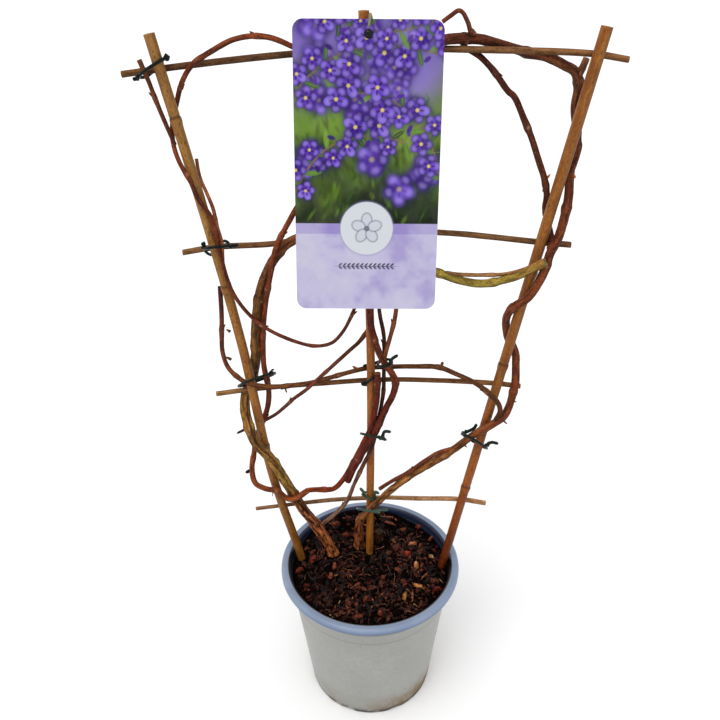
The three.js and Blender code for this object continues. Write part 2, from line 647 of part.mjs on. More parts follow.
const leftVine = vine(LEFT_SHOOTS, 11);
const rightVine = vine(RIGHT_SHOOTS, 47);

// What stands in the soil, grown by the seat gap and reaching a little deeper, leaves its hole there.
function deeper(one) {
  const [[x, y, z], ...rest] = one.route;
  return { ...one, route: [[x, y, z - SEAT_GAP - 0.3], ...rest] };
}

function grown(one) {
  return rod(deeper(one).route, one.sides, STEM_STEP, (share) => thicknessAt(one, share) * NODE_SWELL + 0.6);
}

const soilPlugs = [
  ...Object.values(CANES).map((one) => cane(deeper(one), SEAT_GAP + 0.15)),
  grown(LEFT_SHOOTS[0]),
  grown(RIGHT_SHOOTS[0]),
  grown(RIGHT_SHOOTS[1]),
];

addPiece('pot', pot(), POT_PLASTIC);
addPiece('soil', soil(soilPlugs), COMPOST);
for (const [name, one] of Object.entries(CANES)) {
  addPiece(name, cane(one), one.look);
}
for (const [name, one] of Object.entries(CROSSBARS)) {
  addPiece(name, crossbar(one), SPLIT_WOOD);
}
addPiece('vine_left', leftVine, LEFT_BARK);
addPiece('vine_right', rightVine, RIGHT_BARK);
for (const [name, one] of Object.entries(TIES)) {
  addPiece(name, tie(one), TIE_PLASTIC);
}
addPiece('label_card', card(), CARD_STOCK);
addPiece('label_button', button(), BUTTON_PLASTIC);
addPiece('label_wire', wire(BUTTON_WIRE_ROUTE, BUTTON_WIRE_RADIUS), TIE_PLASTIC);

export default part;
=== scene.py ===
import itertools
import math

import bpy
import numpy as np
from mathutils import Matrix, Vector


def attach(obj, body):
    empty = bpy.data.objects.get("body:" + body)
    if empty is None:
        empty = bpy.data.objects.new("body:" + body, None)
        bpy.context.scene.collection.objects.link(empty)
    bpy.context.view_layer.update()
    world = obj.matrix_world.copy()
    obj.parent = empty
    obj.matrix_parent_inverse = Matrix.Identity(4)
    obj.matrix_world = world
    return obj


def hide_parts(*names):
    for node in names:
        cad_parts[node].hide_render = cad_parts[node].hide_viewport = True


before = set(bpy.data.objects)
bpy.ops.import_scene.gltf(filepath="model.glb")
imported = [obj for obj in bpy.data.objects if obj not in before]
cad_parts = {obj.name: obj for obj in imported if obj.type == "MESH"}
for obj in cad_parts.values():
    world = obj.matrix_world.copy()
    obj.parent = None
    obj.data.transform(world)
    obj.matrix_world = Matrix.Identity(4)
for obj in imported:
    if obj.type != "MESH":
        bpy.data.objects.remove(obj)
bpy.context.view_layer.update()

# ------------------------------------------------------------------ sizes, in millimetres

MM = 0.001

POT_HEIGHT = 148.0
POT_BASE_RADIUS = 60.5
POT_BODY_TOP_RADIUS = 76.7
POT_WALL = 1.6
POT_FLOOR_TOP = 5.0
POT_SIDES = 192
LIP_RADIUS = 85.0
LIP_DEPTH = 7.0
RIB_BELOW_LIP = 11.0
CENTRE_PAD_RADIUS = 30.0
FOOT_RING_INNER_RADIUS = 51.0
RECESS_HEIGHT = 3.0
DRAIN_HOLES = 6
DRAIN_HOLE_RADIUS = 5.0
DRAIN_HOLE_CIRCLE = 41.0
FOOT_NOTCHES = 8
FOOT_NOTCH_RADIUS = 7.0
FOOT_NOTCH_HEIGHT = 2.4
DRILL_MIDDLE, DRILL_LENGTH = 4.0, 12.0

SOIL_TOP = POT_HEIGHT - 10.0
SOIL_RELIEF = 1.3
SOIL_MOUND = 7.5
MOUND_STARTS, MOUND_ENDS = 38.0, 74.0
SOIL_RADIUS = 74.4

STEM_STEP = 9.0
RINGS_BETWEEN_NODES = 5
BIGGEST_BUDDED_ROOT = 2.7
BUD_LENGTH = 4.2

TIE_WIRE_RADIUS = 1.35
TWIST_START, TWIST_LENGTH, TWIST_RADIUS = 0.3, 4.4, 1.3
TWIST_TURN = 9.4  # radians from one end of a twist to the other
CARD_WIRE_RADIUS = 0.9

CARD_WIDTH = 100.5
CARD_HEIGHT = 195.0
CARD_THICKNESS = 0.8
CARD_CORNER_RADIUS = 7.0
CARD_TOP = (2.4, 9.0, 626.0)
CARD_LEAN = math.radians(13)
CARD_SWING = math.radians(1.2)
CARD_HOLE_BELOW_TOP = 9.0
BUTTON_RADIUS = 3.0
BUTTON_PEG_RADIUS = 1.3

FLOOR_REACH = 40.0  # metres
CAMERA_PLACE = (-6.568, -539.803, 691.662)
CAMERA_PITCH = math.radians(30.673)
CAMERA_ROLL = -0.015015
CAMERA_LENS = 38.55

CHIP_SEED, ROOT_SEED, PICTURE_SEED = 31, 77, 5
LEFT_PLANT_SEED, RIGHT_PLANT_SEED = 11, 347

# ------------------------------------------------------------------ colours


def linear(colour):
    """A colour given from 0 to 255 a channel, as scene-linear values."""
    share = np.asarray(colour, float) / 255
    return np.where(share <= 0.04045, share / 12.92, ((share + 0.055) / 1.055) ** 2.4)


def colour_along(stops, share):
    """Colours for an array of shares, from [(share, colour), ...]."""
    at = [stop[0] for stop in stops]
    tones = np.array([linear(stop[1]) for stop in stops])
    return np.stack([np.interp(share, at, tones[:, i]) for i in range(3)], -1)


def mixed(first, second, amount):
    amount = np.asarray(amount, float)[..., None]
    return first * (1 - amount) + second * amount


def toned(colours, factor, amount):
    """Colours made lighter or darker by a factor, as far as the amount says."""
    return mixed(colours, colours * factor, amount)


def pick(random, choices):
    return choices[random.integers(len(choices))]


def unit(vector):
    return vector / np.linalg.norm(vector)


# ------------------------------------------------------------------ uneven values over space


def lattice_noise(points, seed=0):
    """Smooth random values from -1 to 1 over an array of points."""
    cell = np.floor(points).astype(np.int64)
    inside = points - cell
    inside = inside * inside * (3 - 2 * inside)
    total = np.zeros(points.shape[:-1])
    for corner in itertools.product((0, 1), repeat=3):
        x, y, z = np.moveaxis(cell + np.array(corner), -1, 0)
        key = (x * 374761393 + y * 668265263 + z * 2147483647 + seed * 974711) & 0xFFFFFFFF
        key = ((key ^ (key >> 13)) * 1274126177) & 0xFFFFFFFF
        key = key ^ (key >> 16)
        near = np.where(np.array(corner) == 1, inside, 1 - inside).prod(-1)
        total += (key / 2 ** 31 - 1) * near
    return total


def flat_points(x, y):
    return np.stack([x, y, np.zeros_like(x)], -1)


def layered_noise(points, seed=0, layers=3):
    total = np.zeros(points.shape[:-1])
    for i in range(layers):
        total += lattice_noise(points * 2 ** i, seed + i) / 2 ** i
    return total / 1.6


def smooth_step(value, low, high):
    share = np.clip((value - low) / (high - low), 0, 1)
    return share * share * (3 - 2 * share)


# ------------------------------------------------------------------ meshes


class Mould:
    """Gathers the corners and faces of one piece, with a colour and a grain position a corner."""

    def __init__(self):
        self.corners, self.colours, self.grains = [], [], []
        self.quads, self.triangles = [], []
        self.count = 0

    def add(self, corners, quads=(), triangles=(), colours=(0.5, 0.5, 0.5), grain=None):
        corners = np.asarray(corners, float).reshape(-1, 3)
        colours = np.asarray(colours, float)
        if colours.ndim == 1:
            colours = np.tile(colours, (len(corners), 1))
        grain = corners if grain is None else np.asarray(grain, float)
        self.corners.append(corners)
        self.colours.append(colours.reshape(-1, 3))
        self.grains.append(grain.reshape(-1, 3))
        if len(quads):
            self.quads.append(np.asarray(quads, np.int64).reshape(-1, 4) + self.count)
        if len(triangles):
            self.triangles.append(np.asarray(triangles, np.int64).reshape(-1, 3) + self.count)
        self.count += len(corners)


def placed(name, data):
    made = bpy.data.objects.new(name, data)
    bpy.context.scene.collection.objects.link(made)
    return made


def piece(name, mould, material, replaced=(), crease=50):
    """A finished object from a mould: metres, smooth but for edges sharper than the crease."""
    corners = np.concatenate(mould.corners) * MM
    loops, sizes = [], []
    for faces, corner_count in ((mould.quads, 4), (mould.triangles, 3)):
        if faces:
            joined = np.concatenate(faces)
            loops.append(joined.ravel())
            sizes.append(np.full(len(joined), corner_count))
    loops, sizes = np.concatenate(loops), np.concatenate(sizes)
    mesh = bpy.data.meshes.new(name)
    mesh.vertices.add(len(corners))
    mesh.vertices.foreach_set("co", corners.astype(np.float32).ravel())
    mesh.loops.add(len(loops))
    mesh.loops.foreach_set("vertex_index", loops.astype(np.int32))
    mesh.polygons.add(len(sizes))
    starts = np.concatenate([[0], np.cumsum(sizes)[:-1]])
    mesh.polygons.foreach_set("loop_start", starts.astype(np.int32))
    mesh.update(calc_edges=True)
    tones = np.concatenate(mould.colours)
    tones = np.concatenate([tones, np.ones((len(tones), 1))], 1)
    tint = mesh.color_attributes.new("tint", "FLOAT_COLOR", "POINT")
    tint.data.foreach_set("color", tones.astype(np.float32).ravel())
    grain = mesh.attributes.new("grain", "FLOAT_VECTOR", "POINT")
    grain.data.foreach_set("vector", np.concatenate(mould.grains).astype(np.float32).ravel())
    mesh.shade_smooth()
    mesh.set_sharp_from_angle(angle=math.radians(crease))
    mesh.materials.append(material)
    made = placed(name, mesh)
    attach(made, "root")
    if replaced:
        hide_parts(*replaced)
    return made


def smooth_route(route, spacing):
    """Evenly spaced points on the smooth curve through a route, and their distances along it."""
    route = np.asarray(route, float)
    first, last = 2 * route[0] - route[1], 2 * route[-1] - route[-2]
    knots = np.concatenate([[first], route, [last]])
    share = np.linspace(0, 1, 33)[:-1, None]
    dense = []
    for before, start, end, after in zip(knots, knots[1:], knots[2:], knots[3:]):
        gaps = [max(1e-6, np.linalg.norm(b - a) ** 0.5)
                for a, b in ((before, start), (start, end), (end, after))]
        leaving = gaps[1] * ((start - before) / gaps[0] - (end - before) / (gaps[0] + gaps[1])
                             + (end - start) / gaps[1])
        arriving = gaps[1] * ((end - start) / gaps[1] - (after - start) / (gaps[1] + gaps[2])
                              + (after - end) / gaps[2])
        square = -3 * start + 3 * end - 2 * leaving - arriving
        cube = 2 * start - 2 * end + leaving + arriving
        dense.append(start + leaving * share + square * share ** 2 + cube * share ** 3)
    dense = np.concatenate(dense + [route[-1:]])
    along = np.concatenate([[0], np.cumsum(np.linalg.norm(np.diff(dense, axis=0), axis=1))])
    steps = max(2, round(along[-1] / spacing))
    distance = np.linspace(0, along[-1], steps + 1)
    return np.stack([np.interp(distance, along, dense[:, i]) for i in range(3)], -1), distance


def carried_frames(points):
    """A pair of directions square to the route at each point, carried along without twist."""
    tangents = np.gradient(points, axis=0)
    tangents /= np.linalg.norm(tangents, axis=1, keepdims=True)
    start = np.eye(3)[np.argmin(np.abs(tangents[0]))]
    sides = [unit(np.cross(tangents[0], start))]
    for tangent in tangents[1:]:
        sides.append(unit(sides[-1] - tangent * np.dot(sides[-1], tangent)))
    sides = np.array(sides)
    return tangents, sides, np.cross(tangents, sides)


def around(sides):
    return np.arange(sides) / sides * 2 * math.pi


def turned(profile, sides):
    """Rings of corners: a profile of [radius, height] pairs turned about the Z axis."""
    profile, angle = np.asarray(profile, float), around(sides)
    return np.stack([profile[:, :1] * np.cos(angle), profile[:, :1] * np.sin(angle),
                     np.broadcast_to(profile[:, 1:], (len(profile), sides))], -1)


def limb_space(along, sides, reach):
    """Where the corners of a limb stand in its noise: X and Y round the limb, Z along it."""
    angle = around(sides)
    flat = (np.cos(angle) * reach, np.sin(angle) * reach, along[:, None])
    return np.stack([np.broadcast_to(values, (len(along), sides)) for values in flat], -1)


def spokes(points, sides):
    """The directions from each point of a route out to its ring of corners."""
    _, side, up = carried_frames(points)
    angle = around(sides)
    return side[:, None] * np.cos(angle)[:, None] + up[:, None] * np.sin(angle)[:, None]


def painted_light_and_shade(colours, points, low=0.42, high=1.5, light_tint=(1.38, 1.14, 0.88)):
    """Painted light and shade: lighter and warmer on the side that faces up and forward, darker on the
    underside.
    """
    facing = spokes(points, colours.shape[1]) @ np.array([-0.35, -0.45, 0.82])
    return colours * light_tint * (low + (high - low) * smooth_step(facing, -0.7, 0.9))[..., None]


def ring_quads(rings, sides, closed=True):
    corners = np.arange(sides if closed else sides - 1)
    ring, corner = np.meshgrid(np.arange(rings - 1), corners, indexing="ij")
    after = (corner + 1) % sides
    return np.stack([ring * sides + corner, ring * sides + after,
                     (ring + 1) * sides + after, (ring + 1) * sides + corner], -1).reshape(-1, 4)


def sweep(mould, points, distance, radii, colours, end_colour=None, grain_stretch=0.2, hollow=0.0):
    """A limb along a route. radii and colours have one value a ring and side."""
    rings, sides = radii.shape
    tangents = carried_frames(points)[0]
    corners = points[:, None] + spokes(points, sides) * radii[..., None]
    grain = limb_space(distance * grain_stretch, sides, radii)
    mould.add(corners, ring_quads(rings, sides), colours=colours, grain=grain)
    for ring, outward in ((0, -1), (rings - 1, 1)):
        cap_limb(mould, corners[ring], points[ring], tangents[ring] * outward,
                 colours[ring] if end_colour is None else linear(end_colour), grain[ring], hollow, outward)


def cap_limb(mould, rim, centre, outward, colour, grain, hollow, turn):
    """A cut end: a flat face with a soft, darker edge, or a sunk middle where the limb is hollow, painted dark
    as shade down inside it.
    """
    sides = len(rim)
    colour = np.broadcast_to(colour, (sides, 3))
    # The third number of a level darkens its ring; 0.3 is painted shade deep inside a hollow end.
    if hollow:
        levels = [(1.0, 0.0, 0.9), (hollow, 0.0, 1.0), (hollow * 0.95, -5.0, 0.3)]
    else:
        levels = [(1.0, 0.0, 0.8), (0.9, 0.12, 1.0)]
    corners, tones = [], []
    for scale, push, shade in levels:
        corners.append(centre + (rim - centre) * scale + outward * push)
        tones.append(colour * shade)
    corners.append((centre + outward * levels[-1][1])[None])
    tones.append(colour[:1] * levels[-1][2])
    rings = len(levels)
    quads = ring_quads(rings, sides)
    hub = rings * sides
    last = (rings - 1) * sides + np.arange(sides)
    fan = np.stack([last, (rings - 1) * sides + (np.arange(sides) + 1) % sides, np.full(sides, hub)], -1)
    if turn < 0:
        quads, fan = quads[:, ::-1], fan[:, ::-1]
    corners, tones = np.concatenate(corners), np.concatenate(tones)
    mould.add(corners, quads, fan, tones, np.resize(grain, (len(corners), 3)))


# ------------------------------------------------------------------ shader groups


def new_group(name, outputs, **numbers):
    """A shader group that takes a position and named numbers, and puts out single values."""
    group = bpy.data.node_groups.new(name, "ShaderNodeTree")
    group.interface.new_socket("Position", in_out="INPUT", socket_type="NodeSocketVector")
    for label, value in numbers.items():
        socket = group.interface.new_socket(label, in_out="INPUT", socket_type="NodeSocketFloat")
        socket.default_value = value
    for label in outputs:
        group.interface.new_socket(label, in_out="OUTPUT", socket_type="NodeSocketFloat")
    return group, group.nodes.new("NodeGroupInput"), group.nodes.new("NodeGroupOutput")


def feed(tree, socket, value):
    """Links a socket to another, or sets its value."""
    if isinstance(value, bpy.types.NodeSocket):
        tree.links.new(value, socket)
    else:
        socket.default_value = value


def node(tree, kind, inputs=None, **settings):
    made = tree.nodes.new(kind)
    for key, value in settings.items():
        setattr(made, key, value)
    for label, value in (inputs or {}).items():
        feed(tree, made.inputs[label], value)
    return made


def maths(tree, operation, *values, clamp=False):
    made = node(tree, "ShaderNodeMath", dict(enumerate(values)), operation=operation, use_clamp=clamp)
    return made.outputs[0]


def remap(tree, value, low, high, to_low=0.0, to_high=1.0):
    given = {"Value": value, "From Min": low, "From Max": high, "To Min": to_low, "To Max": to_high}
    return node(tree, "ShaderNodeMapRange", given, interpolation_type="SMOOTHSTEP").outputs["Result"]


def mix_colour(tree, amount, first, second, blend="MIX"):
    made = node(tree, "ShaderNodeMix", data_type="RGBA", blend_type=blend, clamp_factor=True)
    for label, value in ((0, amount), (6, first), (7, second)):
        feed(tree, made.inputs[label], (*linear(value), 1) if isinstance(value, tuple) else value)
    return made.outputs[2]


def make_streaks():
    """Fine fibres that run along a limb, from its grain position."""
    tree, given, out = new_group("Fibre streaks", ["Mask", "Height"], Fineness=1.0)
    scaled = node(tree, "ShaderNodeVectorMath",
                  {0: given.outputs["Position"], "Scale": given.outputs["Fineness"]}, operation="SCALE")
    noise = node(tree, "ShaderNodeTexNoise",
                 {"Vector": scaled.outputs[0], "Scale": 1.0, "Detail": 4.0, "Roughness": 0.6})
    tree.links.new(remap(tree, noise.outputs["Fac"], 0.32, 0.68), out.inputs["Mask"])
    tree.links.new(noise.outputs["Fac"], out.inputs["Height"])
    return tree


def make_specks():
    """Scattered small round spots."""
    tree, given, out = new_group("Specks", ["Mask"], Density=1.0, Size=0.2, Share=0.5)
    cells = node(tree, "ShaderNodeTexVoronoi", {"Vector": given.outputs["Position"],
                                                "Scale": given.outputs["Density"], "Randomness": 1.0})
    spot = maths(tree, "LESS_THAN", cells.outputs["Distance"], given.outputs["Size"])
    tone = node(tree, "ShaderNodeSeparateColor", {0: cells.outputs["Color"]})
    chosen = maths(tree, "LESS_THAN", tone.outputs[0], given.outputs["Share"])
    tree.links.new(maths(tree, "MULTIPLY", spot, chosen), out.inputs["Mask"])
    return tree


def make_blotches():
    """Soft uneven patches."""
    tree, given, out = new_group("Blotches", ["Mask"], Density=1.0, From=0.4, To=0.7)
    noise = node(tree, "ShaderNodeTexNoise", {"Vector": given.outputs["Position"], "Detail": 5.0,
                                              "Scale": given.outputs["Density"], "Roughness": 0.6})
    shape = remap(tree, noise.outputs["Fac"], given.outputs["From"], given.outputs["To"])
    tree.links.new(shape, out.inputs["Mask"])
    return tree


STREAKS = make_streaks()
SPECKS = make_specks()
BLOTCHES = make_blotches()


class Finish:
    """One material: a Principled surface and helpers to feed it."""

    def __init__(self, name, roughness, specular=0.5, coat=0.0):
        self.material = bpy.data.materials.new(name)
        self.material.use_nodes = True
        self.tree = self.material.node_tree
        self.surface = self.tree.nodes["Principled BSDF"]
        self.surface.inputs["Roughness"].default_value = roughness
        self.surface.inputs["Specular IOR Level"].default_value = specular
        self.surface.inputs["Coat Weight"].default_value = coat
        self.place = node(self.tree, "ShaderNodeTexCoord").outputs["Object"]

    def attribute(self, name, output="Vector"):
        return node(self.tree, "ShaderNodeAttribute", attribute_name=name).outputs[output]

    def group(self, group, **inputs):
        return node(self.tree, "ShaderNodeGroup", inputs, node_tree=group).outputs

    def blotches(self, density, low, high, position=None):
        position = self.place if position is None else position
        return self.group(BLOTCHES, Position=position, Density=density, From=low, To=high)["Mask"]

    def specks(self, density, size, share, position=None):
        position = self.place if position is None else position
        return self.group(SPECKS, Position=position, Density=density, Size=size, Share=share)["Mask"]

    def times(self, first, second, clamp=False):
        return self.maths("MULTIPLY", first, second, clamp=clamp)

    def multiplied(self, first, second):
        return self.mix(1.0, first, second, "MULTIPLY")

    def mix(self, amount, first, second, blend="MIX"):
        return mix_colour(self.tree, amount, first, second, blend)

    def maths(self, operation, *values, clamp=False):
        return maths(self.tree, operation, *values, clamp=clamp)

    def remap(self, *values):
        return remap(self.tree, *values)

    def colour(self, value):
        self.tree.links.new(value, self.surface.inputs["Base Color"])

    def roughness(self, value):
        self.tree.links.new(value, self.surface.inputs["Roughness"])

    def bump(self, height, strength, distance):
        made = node(self.tree, "ShaderNodeBump", {"Height": height, "Strength": strength, "Distance": distance})
        self.tree.links.new(made.outputs["Normal"], self.surface.inputs["Normal"])


# ------------------------------------------------------------------ finishes


def limb_finish(name, roughness, fineness, light, dark, patches, speck=None, specular=0.14, bump=0.35):
    """Wood or bark: the painted tint, streaked lighter and darker along the limb."""
    look = Finish(name, roughness, specular)
    tint = look.attribute("tint", "Color")
    grain = look.attribute("grain")
    streak = look.group(STREAKS, Position=grain, Fineness=fineness)
    colour = look.mix(streak["Mask"], tint, look.multiplied(tint, light))
    patch = look.times(look.blotches(patches, 0.42, 0.66, grain), 0.75)
    colour = look.mix(patch, colour, look.multiplied(colour, dark))
    if speck:
        density, size, share, tone = speck
        colour = look.mix(look.times(look.specks(density, size, share, grain), 0.7), colour, tone)
    look.colour(colour)
    look.roughness(look.remap(streak["Mask"], 0.0, 1.0, roughness + 0.08, roughness - 0.08))
    look.bump(streak["Height"], bump, 0.0004)
    return look.material


# Tones of the pot, darker and lighter where it is uneven.
WALL_TONES = ((142, 143, 139), (154, 155, 151))
# The lip's top tones are painted light and its side tones painted shade.
RIM_TOP_LIT_TONES = ((119, 134, 158), (133, 147, 170))
RIM_SIDE_SHADED_TONES = ((92, 113, 147), (106, 127, 158))
# Painted shade on the inside wall: near black at the front, dark navy at the back.
INSIDE_SHADE_TONES = ((8, 9, 14), (22, 34, 62))
# Dark lines round the wall: how far under the lip, half their width and how strong. The one just under the lip
# is a painted shadow of the lip, the lower one a plain dark line.
LIP_SHADOW_AND_WALL_LINES = ((23.6, 0.5, 0.42), (0.2, 0.7, 0.7))


def pot_finish():
    """Grey wall and blue lip, with splashes, specks and dark lines round the wall, painted light and shade on
    the lip and painted shade inside.
    """
    look = Finish("Pot plastic", 0.42, 0.45)
    position = node(look.tree, "ShaderNodeSeparateXYZ", {0: look.place}).outputs
    height = look.times(position["Z"], 1000.0)
    square = look.maths("ADD", *(look.times(position[axis], position[axis]) for axis in "XY"))
    radius = look.times(look.maths("SQRT", square), 1000.0)
    cloud = look.blotches(22.0, 0.35, 0.7)
    fine = look.blotches(240.0, 0.35, 0.7)
    body = look.mix(cloud, *WALL_TONES)
    body = look.mix(look.times(fine, 0.3), body, (128, 129, 123))
    # The lip: its own blue, with a painted highlight along its top, painted shade down its side and a painted
    # shadow along its lower edge.
    under_lip = POT_HEIGHT - LIP_DEPTH
    rim = look.mix(look.remap(height, POT_HEIGHT - 4.5, POT_HEIGHT - 1.0),
                   look.mix(cloud, *RIM_SIDE_SHADED_TONES), look.mix(cloud, *RIM_TOP_LIT_TONES))
    rim = look.mix(look.remap(height, under_lip, POT_HEIGHT - 3.2, 0.75, 0.0), rim, (62, 72, 100))
    on_rim = look.times(look.remap(height, under_lip - 0.6, under_lip + 0.8), look.remap(radius, 78.2, 79.2))
    colour = look.mix(on_rim, body, rim)
    # Painted shade on the inside wall above the compost, darker on the front part of the wall than the back.
    outside = look.remap(radius, 78.0, 79.0)
    above = look.remap(height, SOIL_TOP - 8.0, SOIL_TOP - 4.0)
    inside = look.times(above, look.maths("SUBTRACT", 1.0, outside))
    behind = look.remap(position["Y"], 0.0, 0.05)
    colour = look.mix(inside, colour, look.mix(behind, *INSIDE_SHADE_TONES))
    # Splashed compost: brown towards the foot, strongest on one side.
    low = look.remap(height, 2.0, 36.0, 1.0, 0.0)
    side = look.remap(position["X"], -0.01, 0.05, 0.3, 1.0)
    stain = look.times(look.times(low, side), look.maths("ADD", look.blotches(38.0, 0.38, 0.62), 0.25))
    colour = look.mix(look.times(stain, 1.25, clamp=True), colour, (118, 96, 62))
    foot_dirt = look.times(look.remap(height, 1.5, 9.0, 1.0, 0.0), look.blotches(90.0, 0.36, 0.5))
    colour = look.mix(foot_dirt, colour, (34, 26, 18))
    specks = look.maths("MAXIMUM", look.specks(95.0, 0.06, 0.26), look.specks(42.0, 0.042, 0.4))
    colour = look.mix(look.times(specks, 0.85), colour, (58, 50, 42))
    # Dark lines round the wall: a painted shadow just under the lip and a dark line lower down.
    broken = look.maths("MULTIPLY_ADD", cloud, 0.4, 0.6)
    for below, half, strength in LIP_SHADOW_AND_WALL_LINES:
        line = look.maths("ABSOLUTE", look.maths("SUBTRACT", height, under_lip - below))
        amount = look.times(look.remap(line, half, half + 0.5, strength, 0.0), broken)
        colour = look.mix(amount, colour, (74, 74, 70))
    look.colour(colour)
    look.roughness(look.remap(look.maths("ADD", cloud, stain), 0.0, 1.6, 0.36, 0.62))
    look.bump(fine, 0.12, 0.0003)
    return look.material


def compost_finish(name, dark, light, roughness=0.9, specular=0.05):
    look = Finish(name, roughness, specular)
    tint = look.attribute("tint", "Color")
    coarse = look.blotches(420.0, 0.35, 0.7)
    look.colour(look.mix(coarse, look.multiplied(tint, dark), look.multiplied(tint, light)))
    look.bump(look.blotches(900.0, 0.2, 0.8), 0.6, 0.0005)
    return look.material


def wire_finish():
    """The plastic over the wires, a little worn."""
    look = Finish("Tie plastic", 0.5, 0.12)
    wear = look.blotches(260.0, 0.45, 0.75)
    look.colour(look.mix(look.times(wear, 0.12), look.attribute("tint", "Color"), (84, 98, 86)))
    look.roughness(look.remap(wear, 0.0, 1.0, 0.32, 0.6))
    look.bump(wear, 0.15, 0.0002)
    return look.material


def print_finish():
    look = Finish("Card print", 0.34, 0.12, coat=0.02)
    haze = look.blotches(60.0, 0.35, 0.75)
    look.colour(look.mix(look.times(haze, 0.02), look.attribute("tint", "Color"), (255, 255, 255)))
    look.roughness(look.remap(haze, 0.0, 1.0, 0.26, 0.4))
    look.bump(look.blotches(700.0, 0.3, 0.8), 0.04, 0.0001)
    return look.material


def button_finish():
    look = Finish("Button plastic", 0.3, 0.22)
    scuff = look.blotches(500.0, 0.5, 0.8)
    look.colour(look.mix(scuff, (6, 9, 10), (18, 24, 24)))
    look.roughness(look.remap(scuff, 0.0, 1.0, 0.22, 0.5))
    return look.material


POT_PLASTIC = pot_finish()
COMPOST = compost_finish("Compost", (130, 96, 86), (255, 214, 196))
CHIP = compost_finish("Bark chip", (130, 112, 102), (255, 240, 228), 0.5, 0.16)
BAMBOO = limb_finish("Bamboo skin", 0.42, 1.6, (222, 198, 158), (206, 184, 156), 0.2, specular=0.22, bump=0.3)
SPLIT_WOOD = limb_finish("Split wood", 0.75, 3.2, (176, 160, 136), (160, 142, 118), 0.5, bump=0.7)
BARK = limb_finish("Bark", 0.62, 2.4, (168, 138, 112), (150, 124, 104), 0.4,
                   speck=(1.3, 0.16, 0.35, (176, 128, 92)), bump=0.7)
TIE_PLASTIC = wire_finish()
CARD_PRINT = print_finish()
BUTTON_PLASTIC = button_finish()

# ------------------------------------------------------------------ pot


def outer_radius_at(height):
    return POT_BASE_RADIUS + (POT_BODY_TOP_RADIUS - POT_BASE_RADIUS) * height / (POT_HEIGHT - LIP_DEPTH)


def inner_radius_at(height):
    return outer_radius_at(height) - POT_WALL


def rounded(centre_radius, centre_height, size, start, end, steps=7):
    """Points of a rounding in the pot's section, between two angles in degrees."""
    angles = np.radians(np.linspace(start, end, steps))
    return [[centre_radius + size * math.cos(a), centre_height + size * math.sin(a)] for a in angles]


def pot_profile():
    """The pot's wall in section: out along the underside, up the outside and down the inside."""
    under_lip = POT_HEIGHT - LIP_DEPTH
    rib = under_lip - RIB_BELOW_LIP
    inside_lip = inner_radius_at(under_lip)
    profile = [[0, 0], [CENTRE_PAD_RADIUS * 0.5, 0], [CENTRE_PAD_RADIUS - 0.3, 0], [CENTRE_PAD_RADIUS, 0.2],
               [CENTRE_PAD_RADIUS + 0.8, RECESS_HEIGHT - 0.3], [CENTRE_PAD_RADIUS + 1.3, RECESS_HEIGHT],
               [DRAIN_HOLE_CIRCLE, RECESS_HEIGHT], [FOOT_RING_INNER_RADIUS - 0.3, RECESS_HEIGHT],
               [FOOT_RING_INNER_RADIUS + 0.2, RECESS_HEIGHT - 0.4], [FOOT_RING_INNER_RADIUS + 1, 0.2]]
    profile += [[radius, 0] for radius in np.linspace(FOOT_RING_INNER_RADIUS + 1.4, POT_BASE_RADIUS - 1.4, 6)]
    profile += [[POT_BASE_RADIUS - 0.7, 0.15], [POT_BASE_RADIUS - 0.2, 0.55], [outer_radius_at(1.2), 1.2]]
    profile += [[outer_radius_at(h), h] for h in (2, 2.8, 3.6, 5, 8, 14, 24, 40, 60, 80, 100, 115, 122)]
    for offset, rise in ((-1.5, 0), (-0.9, 0.15), (-0.4, 0.5), (0.0, 0.6), (0.4, 0.5), (0.9, 0.15), (1.5, 0)):
        profile.append([outer_radius_at(rib + offset) + rise, rib + offset])
    profile += [[outer_radius_at(h), h] for h in (rib + 4, rib + 8, under_lip - 0.6)]
    profile += [[outer_radius_at(under_lip) + 0.4, under_lip], [LIP_RADIUS - 2.6, under_lip + 0.25]]
    profile += rounded(LIP_RADIUS - 2.0, under_lip + 2.2, 2.0, -80, 0)
    profile += rounded(LIP_RADIUS - 3.4, POT_HEIGHT - 3.4, 3.4, 4, 90, 9)
    profile += [[LIP_RADIUS - 5, POT_HEIGHT - 0.15], [LIP_RADIUS - 7, POT_HEIGHT - 0.5],
                [inside_lip + 1.9, POT_HEIGHT - 1.2], [inside_lip + 1.2, POT_HEIGHT - 2],
                [inside_lip + 0.4, POT_HEIGHT - 4.5]]
    profile += [[inner_radius_at(h), h] for h in (under_lip, 132, 120, 90, 60, 30, 10, 6.5)]
    profile += [[inner_radius_at(POT_FLOOR_TOP) - 1.0, POT_FLOOR_TOP], [DRAIN_HOLE_CIRCLE, POT_FLOOR_TOP],
                [0, POT_FLOOR_TOP]]
    return np.array(profile)


def scallop_foot(corners, foot):
    """Low scallops lift the foot ring and the lowest edge of the wall."""
    turn = (around(POT_SIDES) / (2 * math.pi) * FOOT_NOTCHES) % 1 - 0.5
    across = turn * 2 * math.pi / FOOT_NOTCHES * POT_BASE_RADIUS
    scallop = FOOT_NOTCH_HEIGHT * np.sqrt(np.clip(1 - (across / FOOT_NOTCH_RADIUS) ** 2, 0, 1))
    lifted = np.maximum(corners[foot, :, 2], scallop + (corners[foot, :, 2] * 0.25))
    corners[foot, :, 2] = np.where(scallop > 0.02, lifted, corners[foot, :, 2])


def drill_holes(made):
    for i in range(DRAIN_HOLES):
        turn = 2 * math.pi * i / DRAIN_HOLES
        centre = (DRAIN_HOLE_CIRCLE * math.cos(turn), DRAIN_HOLE_CIRCLE * math.sin(turn), DRILL_MIDDLE)
        drill = cylinder("drill", DRAIN_HOLE_RADIUS, centre, DRILL_LENGTH)
        hole = made.modifiers.new("drain hole", "BOOLEAN")
        hole.operation, hole.solver, hole.object = "DIFFERENCE", "EXACT", drill
        apply_modifiers(made)
        bpy.data.objects.remove(drill)


